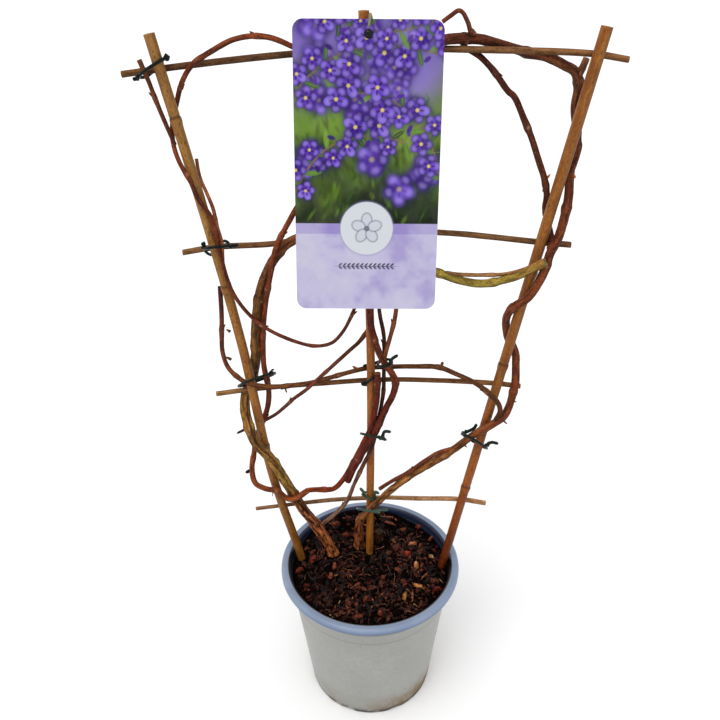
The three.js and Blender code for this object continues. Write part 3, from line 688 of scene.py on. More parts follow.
def make_pot():
    profile = pot_profile()
    angle = around(POT_SIDES)
    corners = turned(profile, POT_SIDES)
    scallop_foot(corners, (profile[:, 0] > FOOT_RING_INNER_RADIUS + 0.5)
                 & (profile[:, 1] < FOOT_NOTCH_HEIGHT + 0.6))
    # The moulded wall is a little uneven.
    wave = layered_noise(corners.reshape(-1, 3) * 0.02, 5).reshape(corners.shape[:2])
    wall = smooth_step(corners[..., 2], 4, 20) * 0.25
    corners[..., 0] += np.cos(angle) * wave * wall
    corners[..., 1] += np.sin(angle) * wave * wall
    mould = Mould()
    mould.add(corners, ring_quads(len(profile), POT_SIDES)[:, ::-1])
    made = piece("pot_shell", mould, POT_PLASTIC, ["pot"], crease=40)
    weld = made.modifiers.new("weld centre", "WELD")
    weld.merge_threshold = 0.00001
    drill_holes(made)
    made.data.set_sharp_from_angle(angle=math.radians(40))
    return made


def cylinder(name, radius, centre, length, sides=28):
    mesh = bpy.data.meshes.new(name)
    rims = turned([[radius, -length / 2], [radius, length / 2]], sides).reshape(-1, 3)
    faces = [[i, (i + 1) % sides, sides + (i + 1) % sides, sides + i] for i in range(sides)]
    faces += [list(range(sides))[::-1], list(range(sides, 2 * sides))]
    mesh.from_pydata(((rims + centre) * MM).tolist(), [], faces)
    return placed(name, mesh)


def apply_modifiers(made):
    bpy.context.view_layer.update()
    shaped = made.evaluated_get(bpy.context.evaluated_depsgraph_get())
    mesh = bpy.data.meshes.new_from_object(shaped)
    made.modifiers.clear()
    made.data = mesh


# ------------------------------------------------------------------ compost


def soil_relief(x, y):
    """Small lumps all over, and a mound against the back of the pot."""
    mound = SOIL_MOUND * smooth_step(0.97 * y - 0.25 * x, MOUND_STARTS, MOUND_ENDS)
    broad = np.sin(x * 0.11 + 0.6) * np.cos(y * 0.13 - 0.4)
    fine = np.sin(x * 0.31 + y * 0.17) * np.sin(y * 0.37 - x * 0.12 + 1.1)
    return mound + SOIL_RELIEF * (0.6 * broad + 0.5 * fine)


def soil_height(x, y):
    x, y = np.asarray(x, float), np.asarray(y, float)
    return SOIL_TOP + 0.1 + soil_relief(x, y) + layered_noise(flat_points(x, y) * 0.35, 21)


def make_soil_body():
    mould = Mould()
    sides, rings = 260, 90
    angle = around(sides)
    radius = np.linspace(SOIL_RADIUS - 0.2, 0.3, rings)[:, None]
    x, y = radius * np.cos(angle), radius * np.sin(angle)
    z = soil_height(x, y)
    lower = [[inner_radius_at(height) - 0.6, height] for height in (POT_FLOOR_TOP + 0.5, SOIL_TOP - 6)]
    corners = np.concatenate([turned(lower, sides), np.stack([x, y, z], -1)])
    # Near black: the compost's own dark colour, darkened further as painted shade in the gaps between the crumbs
    # and chips.
    shade = layered_noise(corners * 0.25, 3)
    tones = mixed(linear((4, 3, 3)), linear((12, 7, 6)), np.clip(0.3 + shade * 0.7, 0, 1))
    mould.add(corners, ring_quads(len(corners), sides), colours=tones)
    floor_centre, top_centre = mould.count, mould.count + 1
    centres = [[0, 0, POT_FLOOR_TOP + 0.5], [0, 0, float(soil_height(0.0, 0.0))]]
    mould.add(centres, colours=linear((40, 25, 18)))
    corner = np.arange(sides)
    after = (corner + 1) % sides
    last = (len(corners) - 1) * sides
    mould.triangles.append(np.stack([after, corner, np.full(sides, floor_centre)], -1))
    mould.triangles.append(np.stack([last + corner, last + after, np.full(sides, top_centre)], -1))
    return piece("compost", mould, COMPOST, ["soil"])


def shard(random, size, flatness, sides):
    """Corners of one torn chip about the origin: two uneven outlines, one above the other."""
    angle = around(sides) + random.uniform(-0.35, 0.35, sides)
    reach = 0.5 * random.uniform(0.72, 1.1, (2, sides))
    reach[1] *= random.uniform(0.55, 0.9)
    height = np.array([[-0.5], [0.5]]) * size[2] + random.uniform(-flatness, flatness, (2, sides)) * size[2]
    outlines = [np.cos(angle) * reach * size[0], np.sin(angle) * reach * size[1], height]
    return np.stack(outlines, -1).reshape(-1, 3)


def shard_faces(sides):
    corner = np.arange(sides)
    after = (corner + 1) % sides
    walls = np.stack([corner, after, after + sides, corner + sides], -1)
    fans = []
    for i in range(1, sides - 1):
        fans += [[0, i + 1, i], [sides, sides + i, sides + i + 1]]
    return walls, np.array(fans)


def turned_about(angles):
    """A rotation matrix: spin about Z, then two tilts."""
    spin, tilt, roll = (Matrix.Rotation(angle, 3, axis) for angle, axis in zip(angles, "ZXY"))
    return np.array(tilt @ roll @ spin)


# What stands in the compost keeps it clear: centre and radius.
STANDING = [(-66.8, 14, 4.9), (0, 19.6, 4.3), (69.7, 1, 4.8), (-36, 19, 5.6), (-9.5, 29, 7.4), (9, 37, 6)]


def somewhere(random, edge):
    """A random place on the compost, at least the edge away from the pot."""
    reach = (SOIL_RADIUS - edge) * math.sqrt(random.random())
    turn = random.uniform(0, 2 * math.pi)
    return reach * math.cos(turn), reach * math.sin(turn)


def clear_of_stems(x, y, margin=0.0):
    return all(math.hypot(x - cx, y - cy) > radius + margin for cx, cy, radius in STANDING)


# Crumb tones: the compost's colour, darkened as painted shade for the shadows the heaped crumbs cast on one
# another.
CRUMB_TONES = [(12, 5, 4), (18, 8, 6), (30, 13, 9), (14, 7, 6), (42, 19, 13), (58, 26, 16)]
CHIP_TONES = [(54, 24, 16), (92, 42, 26), (28, 12, 9), (120, 64, 44), (18, 9, 8), (66, 32, 22), (14, 8, 7),
              (40, 18, 13)]
SLIVER_TONES = [(196, 142, 84), (172, 118, 70), (214, 168, 112), (150, 98, 60)]
ROOT_TONES = [(120, 78, 60), (150, 104, 78), (96, 60, 46), (176, 132, 104), (84, 50, 38)]


def scatter(mould, random, count, sizes, tones, lift, tilt, edge):
    """Chips of one sort strewn over the compost. sizes: low and high for length, width and depth."""
    placed = 0
    while placed < count:
        x, y = somewhere(random, edge)
        size = [random.uniform(low, high) for low, high in sizes]
        if not clear_of_stems(x, y, size[0] * 0.3):
            continue
        place_chip(mould, random, x, y, size, pick(random, tones), lift, tilt, random.uniform(0, math.pi))
        placed += 1


def place_chip(mould, random, x, y, size, tone, lift, tilt, spin):
    sides = 6 if size[0] > 2.2 else 5
    corners = shard(random, size, 0.25, sides)
    corners = corners @ turned_about((spin, *random.uniform(-tilt, tilt, 2))).T
    corners += [x, y, float(soil_height(x, y)) + size[2] * lift]
    walls, fans = shard_faces(sides)
    shade = random.uniform(0.75, 1.25) * random.uniform(0.85, 1.15, (len(corners), 1))
    mould.add(corners, walls, fans, linear(tone) * shade)


# Larger chips: place, spin in degrees, length, width, depth and colour.
LARGE_CHIPS = [
    (-55.5, 9.1, 60, 8.5, 6, 3, (158, 62, 38)), (-37.8, -11.5, 80, 6, 4.6, 3, (178, 104, 80)),
    (36.8, 15.2, 0, 9.5, 6, 3, (170, 66, 38)), (44.7, 0.4, 78, 9, 5.5, 3, (206, 148, 92)),
    (45.1, -26.3, -24, 12.5, 4.4, 2.2, (214, 150, 84)), (31.8, -37.5, 82, 12, 4.2, 2.2, (212, 152, 78)),
    (38.6, -38, 86, 16, 1.8, 1.4, (176, 112, 62)), (62.1, -30.9, 10, 9, 6, 2.6, (122, 44, 30)),
    (12.2, -15, 20, 5, 4, 2.4, (128, 66, 52)), (43.1, 28.1, 10, 8, 3.4, 2, (188, 126, 82)),
    (60.1, 10.7, -35, 6, 3.2, 2, (226, 190, 140)), (-34.9, 54.2, 12, 11, 5, 2.6, (146, 72, 44)),
    (-23.5, 41.6, 4, 9, 5, 2.6, (134, 60, 38)), (-68, -4, 40, 8, 5, 2.4, (104, 48, 30)),
    (20, 64.2, 5, 14, 1.4, 1.2, (186, 130, 116)), (21, 58, -8, 12, 3, 1.6, (140, 84, 60)),
    (-4.4, -41.6, 60, 8, 4.4, 2.4, (138, 66, 40)), (1, -49.3, 28, 11, 1.6, 1.2, (206, 140, 104)),
    (50.5, 53.8, 70, 7, 5, 2.4, (150, 68, 46)), (24, 34, -50, 9, 2.6, 1.8, (176, 122, 84)),
    (8, -58.1, 80, 6, 4.6, 2.4, (136, 70, 44)), (50.5, 26.6, 60, 6, 3, 1.8, (158, 100, 64)),
    (51.2, -14.5, 50, 12, 1.4, 1.2, (182, 128, 86)), (27, 23, 40, 10, 7, 3, (92, 46, 34)),
    (-44, 36, -20, 10, 4, 2.2, (120, 66, 42)), (-60, -24, 30, 7, 4, 2.4, (98, 40, 26)),
    (62, 36, 30, 7, 4, 2.2, (126, 66, 42)), (-12, -62, 15, 9, 4, 2.2, (110, 52, 34)),
    (34, 50, 15, 8, 3.2, 2, (144, 84, 54)), (-20, 62, -30, 9, 4, 2.2, (104, 54, 36)),
]


def make_bark_chips():
    random = np.random.default_rng(CHIP_SEED)
    crumbs, chips = Mould(), Mould()
    for mould, count, sizes, tones, lift, tilt, edge in (
            (crumbs, 2800, [(1.6, 5.0), (1.0, 2.6), (0.6, 1.6)], CRUMB_TONES, 0.2, 0.9, 1.4),
            (chips, 900, [(3.6, 9.5), (1.4, 3.4), (0.6, 1.4)], CHIP_TONES, 0.7, 0.8, 3.0),
            (chips, 170, [(6.0, 12.5), (3.2, 6.0), (1.0, 1.8)], CHIP_TONES, 0.9, 0.55, 6.0),
            (chips, 60, [(3.0, 8.0), (0.8, 1.8), (0.6, 1.2)], SLIVER_TONES, 0.7, 0.4, 5.0)):
        scatter(mould, random, count, sizes, tones, lift, tilt, edge)
    for x, y, spin, length, width, depth, tone in LARGE_CHIPS:
        place_chip(chips, random, x, y, (length * 1.2, width * 1.15, depth), tone, 1.0, 0.2, math.radians(spin))
    piece("compost_crumbs", crumbs, COMPOST, crease=30)
    piece("bark_chips", chips, CHIP, crease=30)


def make_root_hairs():
    """Thin pale roots and straws that lie over the compost."""
    random = np.random.default_rng(ROOT_SEED)
    mould = Mould()
    for _ in range(120):
        x, y = somewhere(random, 12)
        heading = random.uniform(0, 2 * math.pi)
        route = []
        for _ in range(5):
            lift = random.uniform(0.6, 1.9)
            route.append([x, y, float(soil_height(x, y)) + lift])
            heading += random.uniform(-0.5, 0.5)
            x += random.uniform(2.0, 4.0) * math.cos(heading)
            y += random.uniform(2.0, 4.0) * math.sin(heading)
        route[0][2] -= 1.6
        route[-1][2] -= 1.6
        if not all(clear_of_stems(x, y, 0.5) and math.hypot(x, y) < SOIL_RADIUS - 3 for x, y, _ in route):
            continue
        points, distance = smooth_route(route, 1.0)
        radii = np.full((len(points), 5), random.uniform(0.16, 0.34))
        tone = np.broadcast_to(linear(pick(random, ROOT_TONES)), (len(points), 5, 3))
        sweep(mould, points, distance, radii, tone)
    return piece("fine_roots", mould, CHIP)


# ------------------------------------------------------------------ trellis

# Each cane: route, radius at the foot and at the top, where its joints are and how its colour runs.
CANES = {
    "cane_left": dict(
        route=[[-58, 14, 84], [-67, 14, 139], [-88, 14, 242], [-104.5, 14, 385.5], [-124, 14, 507],
               [-144, 14, 618.5]],
        foot=4.5, top=3.9, joints=[0.36, 0.649, 0.893], slot="bamboo", rough=1.0,
        tones=[(0, (75, 45, 20)), (0.1, (110, 80, 35)), (0.3, (125, 85, 40)), (0.5, (135, 95, 45)),
               (0.75, (130, 100, 55)), (1, (130, 100, 60))]),
    "cane_centre": dict(
        route=[[-1, 19.6, 60], [0, 19.6, 139], [2, 19.6, 276], [2.6, 19.6, 340], [1, 19.6, 473],
               [-0.6, 19.6, 630]],
        foot=3.85, top=3.7, joints=[0.66, 0.86], slot="bamboo", rough=0.5,
        tones=[(0, (115, 80, 35)), (0.2, (140, 95, 45)), (0.4, (140, 88, 42)), (1, (143, 93, 48))]),
    "cane_right": dict(
        route=[[59.4, 0, 84], [69.6, 1, 138], [89.2, 3.2, 242], [112, 6, 362], [132, 9, 466], [161, 12, 619]],
        foot=4.35, top=4.2, joints=[0.28, 0.517, 0.672], slot="stained_bamboo", rough=0.6,
        tones=[(0, (50, 20, 8)), (0.14, (85, 40, 15)), (0.2, (110, 58, 20)), (0.3, (122, 70, 24)),
               (0.5, (120, 78, 30)), (1, (125, 85, 40))]),
}


def make_cane(name, route, foot, top, joints, tones, rough, slot):
    points, distance = smooth_route(route, 1.0)
    sides, seed = 28, len(name)
    share = distance / distance[-1]
    from_joints = [distance - joint * distance[-1] for joint in joints]
    base = foot + (top - foot) * share
    for away in from_joints:
        base = base + foot * (0.13 * np.exp(-(away / 3.4) ** 2) - 0.10 * np.exp(-((away - 2.6) / 0.8) ** 2)
                                - 0.03 * np.exp(-(np.maximum(away, 0) / 14) ** 2))
    space = limb_space(distance / 30, sides, 1.2)
    wobble = layered_noise(space, seed)
    fibre = lattice_noise(space * [3.5, 3.5, 0.9], seed + 5)
    radii = base[:, None] * (1 + 0.02 * wobble) + 0.05 * fibre
    patch = layered_noise(space * [1.6, 1.6, 0.7], seed + 9)
    black = lattice_noise(space * [5, 5, 22], seed + 13)
    colours = colour_along(tones, share)[:, None]
    colours = toned(colours, [0.6, 0.55, 0.5], smooth_step(patch, 0.0, 0.7) * (0.25 + 0.3 * rough))
    colours = toned(colours, [1.35, 1.32, 1.2], smooth_step(fibre, 0.1, 0.8) * 0.6)
    colours = mixed(colours, linear((58, 40, 26)), smooth_step(black, 0.5, 0.72) * (0.2 + rough * 0.7))
    for away in from_joints:
        colours = mixed(colours, linear((50, 30, 17)), np.exp(-((away - 2.4) / 1.1) ** 2)[:, None] * 0.8)
    # Painted light and shade: the cane lighter and warmer on the side facing up and forward, darker underneath.
    colours = painted_light_and_shade(colours, points, 0.5, 1.42, (1.14, 1.03, 0.72))
    mould = Mould()
    sweep(mould, points, distance, radii, colours, end_colour=(186, 146, 92), hollow=0.45)
    return piece(name + "_bamboo", mould, BAMBOO, [name])


# Each crossbar: route, radius at its left and right end and how its colour runs.
CROSSBARS = {
    "crossbar_1": dict(
        route=[[-168, 19.1, 592], [-138.3, 20.7, 595.3], [-50, 23, 603], [-1, 26.1, 604.9],
               [89.8, 19.5, 604.1], [155.2, 18.6, 600.9], [180.5, 17.6, 596.9]],
        left=2.25, right=2.25,
        tones=[(0, (115, 85, 50)), (0.1, (90, 65, 45)), (0.45, (95, 70, 50)), (0.7, (112, 85, 58)),
               (1, (130, 95, 65))]),
    "crossbar_2": dict(
        route=[[-143, 19.5, 459.5], [-117.2, 20.7, 463.1], [-75, 21.8, 464.5], [-54, 23, 467],
               [1, 26, 470.6], [54, 22, 472], [137.1, 15.6, 464.8], [157, 14.6, 463]],
        left=2.2, right=2.25,
        tones=[(0, (125, 95, 60)), (0.2, (110, 80, 55)), (0.5, (115, 90, 60)), (1, (100, 75, 55))]),
    "crossbar_3": dict(
        route=[[-131, 19.5, 328.1], [-101.1, 20.6, 331.5], [-40, 23.1, 335], [2.6, 26.3, 335.6],
               [40, 22, 338], [107.2, 12.3, 339.3], [129.1, 10.9, 336.8]],
        left=2.05, right=2.1,
        tones=[(0, (140, 110, 75)), (0.3, (105, 75, 50)), (0.7, (110, 80, 50)), (1, (130, 95, 65))]),
    "crossbar_4": dict(
        route=[[-107.5, 19.2, 197.7], [-81.1, 20.5, 200.2], [-37, 23.7, 203], [0.5, 26.5, 202.6],
               [14, 25.2, 204], [45, 18, 208.3], [84.2, 9.9, 213.7], [108, 7.8, 210.3]],
        left=1.7, right=2.2,
        tones=[(0, (135, 105, 80)), (0.2, (105, 80, 60)), (0.6, (160, 130, 100)), (1, (175, 140, 110))]),
}


def make_crossbar(name, route, left, right, tones):
    points, distance = smooth_route(route, 1.2)
    sides, seed = 16, 60 + int(name[-1])
    share = distance / distance[-1]
    space = limb_space(distance / 26, sides, 1.5)
    lump = layered_noise(space, seed)
    fibre = lattice_noise(space * [3, 3, 1.4], seed + 3)
    # Split from a rod: one side is flatter than the rest.
    flat = 1 - 0.16 * smooth_step(np.cos(around(sides) - 0.9), 0.3, 0.9)
    radii = (left + (right - left) * share[:, None]) * 1.04 * flat * (1 + 0.08 * lump) + 0.1 * fibre
    colours = colour_along(tones, share)[:, None]
    colours = toned(colours, 0.5, smooth_step(fibre, 0.0, 0.8) * 0.6)
    colours = toned(colours, [1.4, 1.35, 1.25], smooth_step(lump, 0.1, 0.7) * 0.6)
    # Painted light and shade: the stick lighter and warmer on its upper front side, darker underneath.
    colours = painted_light_and_shade(colours, points, 0.55, 1.3, (1.28, 1.14, 0.98))
    mould = Mould()
    sweep(mould, points, distance, radii, colours, end_colour=(196, 160, 112))
    return piece(name + "_stick", mould, SPLIT_WOOD, [name])


# ------------------------------------------------------------------ plants

# Each shoot: route, thickness at root and tip, how old its bark is and how its colour runs.
# A seam is a dark furrow painted along a stem, painted shade of a groove the mesh doesn't have: from where to
# where, which way it faces and its width. A bare shoot has no buds.
LEFT_SHOOTS = [
    dict(route=[[-31, 18, 104], [-36, 19, 139], [-44.5, 18, 161.5], [-54, 16, 184], [-64, 13.4, 205.1],
                [-72.5, 10, 229], [-80.5, 6.9, 251.6], [-87.7, 4.4, 269.8], [-98, 4, 285],
                [-103.6, 5.4, 303.5], [-107, 15, 315.5], [-106.5, 25.5, 325], [-101, 31.5, 334.5],
                [-98, 30, 346], [-95.5, 23, 357], [-93.5, 17, 371], [-91.5, 15, 391], [-84, 15, 430],
                [-69, 15, 459], [-54, 15, 471], [-30, 14, 473], [0, 11.7, 466.1], [28, 13, 453],
                [54, 14, 442], [76, 14, 434], [91.5, 12, 432.5], [105.5, 8, 437], [114, 3, 442],
                [122, -1, 448], [128.5, -4.5, 453.5], [133.4, -6.4, 458.2]],
         root=5.2, tip=3, sides=32, rough=0.1,
         age=[(0, 1.0), (0.18, 1.0), (0.22, 0.5), (0.3, 0.6), (0.42, 0.5), (0.64, 0.5), (0.7, 0.2), (1, 0.12)],
         shaded_furrows=[(0.22, 0.46, (0.6, -1, 0), 0.8), (0.08, 0.24, (-0.2, -1, 0), 0.9), (0.1, 0.2, (1, -0.8, 0), 0.9),
                (0.3, 0.42, (-0.7, -1, 0), 0.5)],
         tones=[(0, (170, 115, 70)), (0.13, (168, 112, 70)), (0.2, (135, 98, 54)), (0.24, (143, 130, 60)),
                (0.3, (140, 116, 60)), (0.42, (125, 102, 52)), (0.56, (96, 72, 36)), (0.63, (104, 68, 40)),
                (0.68, (125, 85, 48)), (0.72, (112, 94, 48)), (0.78, (128, 132, 62)), (0.95, (134, 132, 64)),
                (1, (126, 105, 56))],
         end=(140, 140, 92)),
    dict(route=[[-48.5, 17, 175], [-43, 18, 180], [-32, 17, 192], [-21, 16, 208], [-13, 15, 231],
                [-3.5, 13.6, 256.5], [2.5, 13.3, 270.9], [8, 15.4, 297.4], [13, 16.6, 328],
                [13.5, 16.8, 352], [13.5, 16.5, 383], [9.5, 15, 410], [10, 13.5, 440], [14, 13, 458]],
         root=2, tip=1.6, sides=16, rough=0.05, age=[(0, 0.3), (1, 0.1)],
         tones=[(0, (118, 100, 92)), (0.15, (118, 100, 92)), (0.3, (95, 65, 53)), (0.4, (68, 38, 30)),
                (1, (54, 30, 27))]),
    dict(route=[[-67, 13, 215.5], [-62, 8, 224.5], [-56, 7, 229.5], [-44, 11, 226.7], [-33, 13, 225.9],
                [-24.5, 14, 234.5], [-14, 13.5, 256], [-4, 13, 279], [2, 12.4, 294], [5.5, 11.6, 312.3],
                [7.6, 11, 328.7], [8, 10.9, 351.9]],
         root=2.3, tip=2.7, sides=20, rough=0.05, age=[(0, 0.25), (1, 0.15)],
         tones=[(0, (110, 60, 25)), (0.2, (108, 45, 18)), (0.6, (102, 40, 15)), (1, (76, 28, 12))]),
    dict(route=[[-56, 7, 229.5], [-66.5, 4.5, 222.5], [-74, 3.5, 222.5], [-84, 4.5, 231.5],
                [-94.5, 6.5, 232.5], [-103.8, 10, 236.2], [-106.5, 15, 249], [-104, 20, 262.9],
                [-101, 21.5, 279], [-92, 21.5, 301], [-86.5, 17, 320], [-85, 14.5, 338], [-87.1, 14, 358.9],
                [-85.5, 14.5, 390], [-82, 13.5, 414], [-77, 9, 436], [-72.5, 8.5, 454], [-69, 11, 467],
                [-57, 15, 488], [-42, 16, 512], [-30, 16.5, 540], [-24, 17, 572], [-32, 16.5, 598],
                [-49.5, 16, 609], [-67, 15, 615.4], [-87, 15, 614.1], [-105, 15, 606], [-118, 15.4, 598],
                [-127, 17.5, 586], [-133, 20.6, 572], [-137.8, 20.8, 558], [-138.4, 17, 546],
                [-134.2, 9.6, 533.5], [-127.5, 6, 521], [-123, 6.8, 506], [-116.5, 8.6, 493.5],
                [-114, 8.4, 480], [-112, 8, 466], [-110, 7.6, 450], [-107.5, 7.6, 436.5],
                [-101.5, 8.5, 421], [-91.5, 8.6, 406.5], [-78.5, 8, 395.5], [-58, 6, 386], [-43, 4, 383],
                [-29.5, 4, 385.5], [-20.5, 5, 394.5], [-13, 7, 408], [-6, 8, 428], [2, 9.5, 452]],
         root=2.6, tip=1.35, sides=20, rough=0.05, age=[(0, 0.25), (1, 0.1)],
         tones=[(0, (120, 70, 38)), (0.2, (100, 50, 28)), (0.5, (110, 60, 32)), (0.8, (92, 46, 30)),
                (1, (80, 45, 30))]),
    dict(route=[[-137, 15.5, 544], [-141.6, 15.6, 559.1], [-145.5, 15.6, 572.8], [-149.2, 14.8, 588.8],
                [-153.6, 15.8, 601.8]],
         root=1.5, tip=1.75, sides=16, rough=0.04, age=[(0, 0.1), (1, 0.1)],
         tones=[(0, (84, 48, 34)), (1, (94, 60, 40))]),
    dict(route=[[-111, 8, 452], [-110.5, 10.5, 472], [-113, 13, 483], [-114.5, 14, 496],
                [-118.4, 16.8, 507.4], [-122.9, 20.1, 518.9], [-124, 21.1, 532]],
         root=1.6, tip=1.3, sides=16, rough=0.04, age=[(0, 0.1), (1, 0.1)],
         tones=[(0, (125, 75, 50)), (1, (148, 102, 70))]),
    dict(route=[[14, 12.6, 461], [5, 11, 440], [2, 11.4, 412], [3.6, 11.4, 392], [8.5, 10, 374.5],
                [14.5, 9, 361.5], [20, 8, 353], [23, 8, 344], [21, 8.4, 331.5], [15.5, 9, 318.5],
                [10.5, 8.6, 305], [6, 8, 293], [-0.5, 8, 280.5], [-8, 9, 265], [-14.5, 9.6, 250],
                [-19.5, 10, 237]],
         root=2.8, tip=3, sides=22, rough=0.07, age=[(0, 0.3), (1, 0.3)],
         tones=[(0, (98, 46, 24)), (0.3, (84, 36, 20)), (0.42, (110, 62, 42)), (0.55, (90, 38, 20)),
                (0.75, (74, 28, 16)), (1, (78, 28, 16))]),
    dict(route=[[13.5, 9.4, 365.5], [15.5, 7.6, 377], [19.5, 6, 395], [22.5, 5, 414], [22, 8, 438],
                [20, 12, 456]],
         root=1.8, tip=1.75, sides=16, rough=0.04, age=[(0, 0.15), (1, 0.1)],
         tones=[(0, (118, 76, 44)), (1, (108, 60, 36))]),
    dict(route=[[-91, 21.5, 298.5], [-82.1, 22, 303.7], [-73.5, 19, 313.2], [-64, 14, 325.5],
                [-53, 12, 335.5], [-38.9, 12.5, 349.5], [-27.6, 15, 359.4], [-16, 19, 368.9],
                [-6.3, 23.7, 376.1], [2, 25.8, 388.2]],
         root=1.5, tip=1.75, sides=14, rough=0.04, age=[(0, 0.1), (1, 0.1)],
         tones=[(0, (82, 48, 38)), (0.5, (92, 52, 40)), (1, (86, 48, 34))]),
    dict(route=[[61.8, 13.5, 441.7], [71.2, 13.5, 440.2], [88.4, 13, 439.6], [103.7, 11, 440.6],
                [109.3, 8.5, 442.5], [117.4, 4, 446.9], [127, -2, 454.4], [133.2, -5.5, 459.9]],
         root=1.7, tip=1.4, sides=16, rough=0.04, bare=True, age=[(0, 0.15), (1, 0.1)],
         tones=[(0, (120, 100, 75)), (0.6, (138, 112, 80)), (1, (150, 116, 80))]),
]

RIGHT_SHOOTS = [
    dict(route=[[-6, 37, 104], [-9, 31, 132], [-10, 27, 148], [-10, 23, 165], [-9, 19, 180],
                [-7.5, 14.5, 191]],
         root=6.5, tip=3.4, sides=40, rough=0.14, age=[(0, 1.6), (0.6, 1.5), (1, 0.8)],
         tones=[(0, (105, 70, 45)), (0.4, (156, 106, 72)), (0.75, (150, 96, 64)), (1, (136, 85, 58))]),
    dict(route=[[-6, 36, 116], [4, 38, 126], [9, 37, 138], [10, 36, 151]],
         root=5.4, tip=4, sides=32, rough=0.16, age=[(0, 1.2), (1, 1.2)], end=(64, 42, 26),
         tones=[(0, (34, 20, 12)), (0.6, (44, 27, 17)), (1, (52, 34, 22))]),
    dict(route=[[-9, 19, 179], [-6.5, 13, 191], [0.5, 8.6, 203.5], [8, 9, 212], [18, 9, 224.4],
                [35.9, 7.5, 243.3], [57.9, 5, 261.7], [74, 1, 278], [90, -3.6, 297], [103, -4.4, 307],
                [114.5, -1, 313.5], [119.6, 3, 321.8], [121.8, 4, 333.5], [123.3, 5.6, 344.8],
                [123.7, 11, 355.1], [123, 17, 367.5], [116.5, 18, 380], [113, 15.4, 394],
                [111.9, 9.2, 405.5], [115.2, 1.2, 417.5], [124.4, -0.6, 425.5], [131, -0.6, 437],
                [135.5, 0.6, 448.9], [138.1, 1.2, 461.4], [143, 3, 472], [147, 6.5, 487],
                [149.5, 11.5, 502], [150, 17.5, 518], [153, 19.6, 533], [151.9, 20.4, 548], [149, 21, 566],
                [149.5, 21.4, 579.5], [145.6, 22, 588.8], [138.3, 23, 592.9], [125.5, 24.1, 598.5],
                [113.4, 26.1, 600.7], [103.8, 26.7, 603.4], [90.8, 26.6, 607], [80, 25.3, 610],
                [70.8, 26.4, 610.5], [56.2, 19.7, 611.3], [34, 16, 608]],
         root=3.2, tip=3.6, sides=28, rough=0.08,
         age=[(0, 0.9), (0.12, 0.6), (0.3, 0.4), (0.5, 0.35), (1, 0.35)],
         tones=[(0, (132, 94, 50)), (0.1, (140, 106, 62)), (0.2, (126, 90, 50)), (0.28, (112, 68, 38)),
                (0.36, (106, 56, 30)), (0.45, (114, 68, 38)), (0.6, (98, 52, 28)), (0.72, (90, 52, 32)),
                (0.8, (98, 66, 40)), (0.88, (82, 44, 26)), (1, (86, 44, 26))]),
    dict(route=[[147.5, 22, 585], [151, 23.4, 591], [153.5, 25, 597]],
         root=3.2, tip=2.4, sides=18, rough=0.05, age=[(0, 0.4), (1, 0.4)],
         tones=[(0, (100, 60, 50)), (1, (130, 98, 80))]),
    dict(route=[[9.5, 8.6, 228.5], [20.5, 8.2, 237.5], [35.5, 7.4, 248.2], [48.5, 5.8, 261.4],
                [61.5, 3.6, 273], [73, 1.4, 279]],
         root=1.9, tip=1.9, sides=16, rough=0.05, age=[(0, 0.2), (1, 0.2)],
         tones=[(0, (88, 48, 34)), (0.5, (92, 48, 32)), (1, (114, 68, 42))]),
    dict(route=[[107.5, -3.6, 311.5], [110.5, -5, 322], [108, -5.4, 331], [100.5, -4.4, 339.5],
                [90, 1.5, 346], [77, 8, 350], [60, 15.4, 354], [41, 21.5, 351.6], [20, 26, 348.9],
                [0, 27.8, 346.8], [-18, 24.5, 344.3], [-34, 18.5, 343], [-48, 16.6, 340], [-62, 14, 339.5],
                [-75, 9.4, 341], [-88, 7.6, 343], [-101.5, 7.2, 346.5], [-109, 8, 352], [-116.5, 10.5, 360],
                [-120, 12, 374], [-119, 13, 391], [-118, 15.5, 405], [-117.5, 18.5, 420],
                [-117.5, 21, 429.5]],
         root=2.2, tip=1.9, sides=16, rough=0.05, age=[(0, 0.2), (1, 0.15)],
         tones=[(0, (72, 45, 28)), (0.15, (82, 56, 30)), (0.35, (90, 64, 38)), (0.6, (90, 60, 36)),
                (0.75, (102, 68, 40)), (0.85, (88, 46, 30)), (1, (70, 40, 32))]),
    dict(route=[[74.5, 24, 614], [71.8, 21, 615.1], [69.1, 18.5, 621.5], [64.9, 17, 628.2],
                [62.1, 17, 629.3], [57.4, 17, 626.4], [51.8, 17, 622.6]],
         root=1.7, tip=1.5, sides=16, rough=0.04, age=[(0, 0.2), (1, 0.1)],
         tones=[(0, (94, 56, 42)), (0.4, (94, 52, 38)), (1, (118, 64, 42))]),
    dict(route=[[66, 24, 611.5], [68.7, 26.6, 605.2], [73.6, 27, 602.5], [79.4, 24.5, 599.2],
                [86.6, 19, 592.9], [92.7, 16, 585.6], [99.2, 15, 577.7], [103.2, 14, 574.5],
                [111.7, 14, 558.9], [119, 14, 544], [125.5, 14.6, 528.5], [130.8, 15, 515.8],
                [134.5, 16.4, 502.7], [134.9, 17.4, 491.5], [137.2, 18.2, 482.5], [140.1, 15.7, 473.6],
                [140.4, 8.9, 466.8], [138, 2.6, 465.5]],
         root=2.1, tip=2.6, sides=18, rough=0.05, age=[(0, 0.2), (1, 0.2)],
         tones=[(0, (58, 26, 15)), (0.35, (66, 30, 16)), (0.6, (78, 44, 24)), (0.75, (78, 40, 20)),
                (1, (66, 30, 16))]),
]


def thickness_at(one, share):
    return one["root"] + (one["tip"] - one["root"]) * share


def node_distances(length):
    """Where a shoot's nodes are, along it."""
    steps = max(2, round(length / STEM_STEP))
    return [ring * length / steps for ring in range(RINGS_BETWEEN_NODES - 1, steps, RINGS_BETWEEN_NODES)]


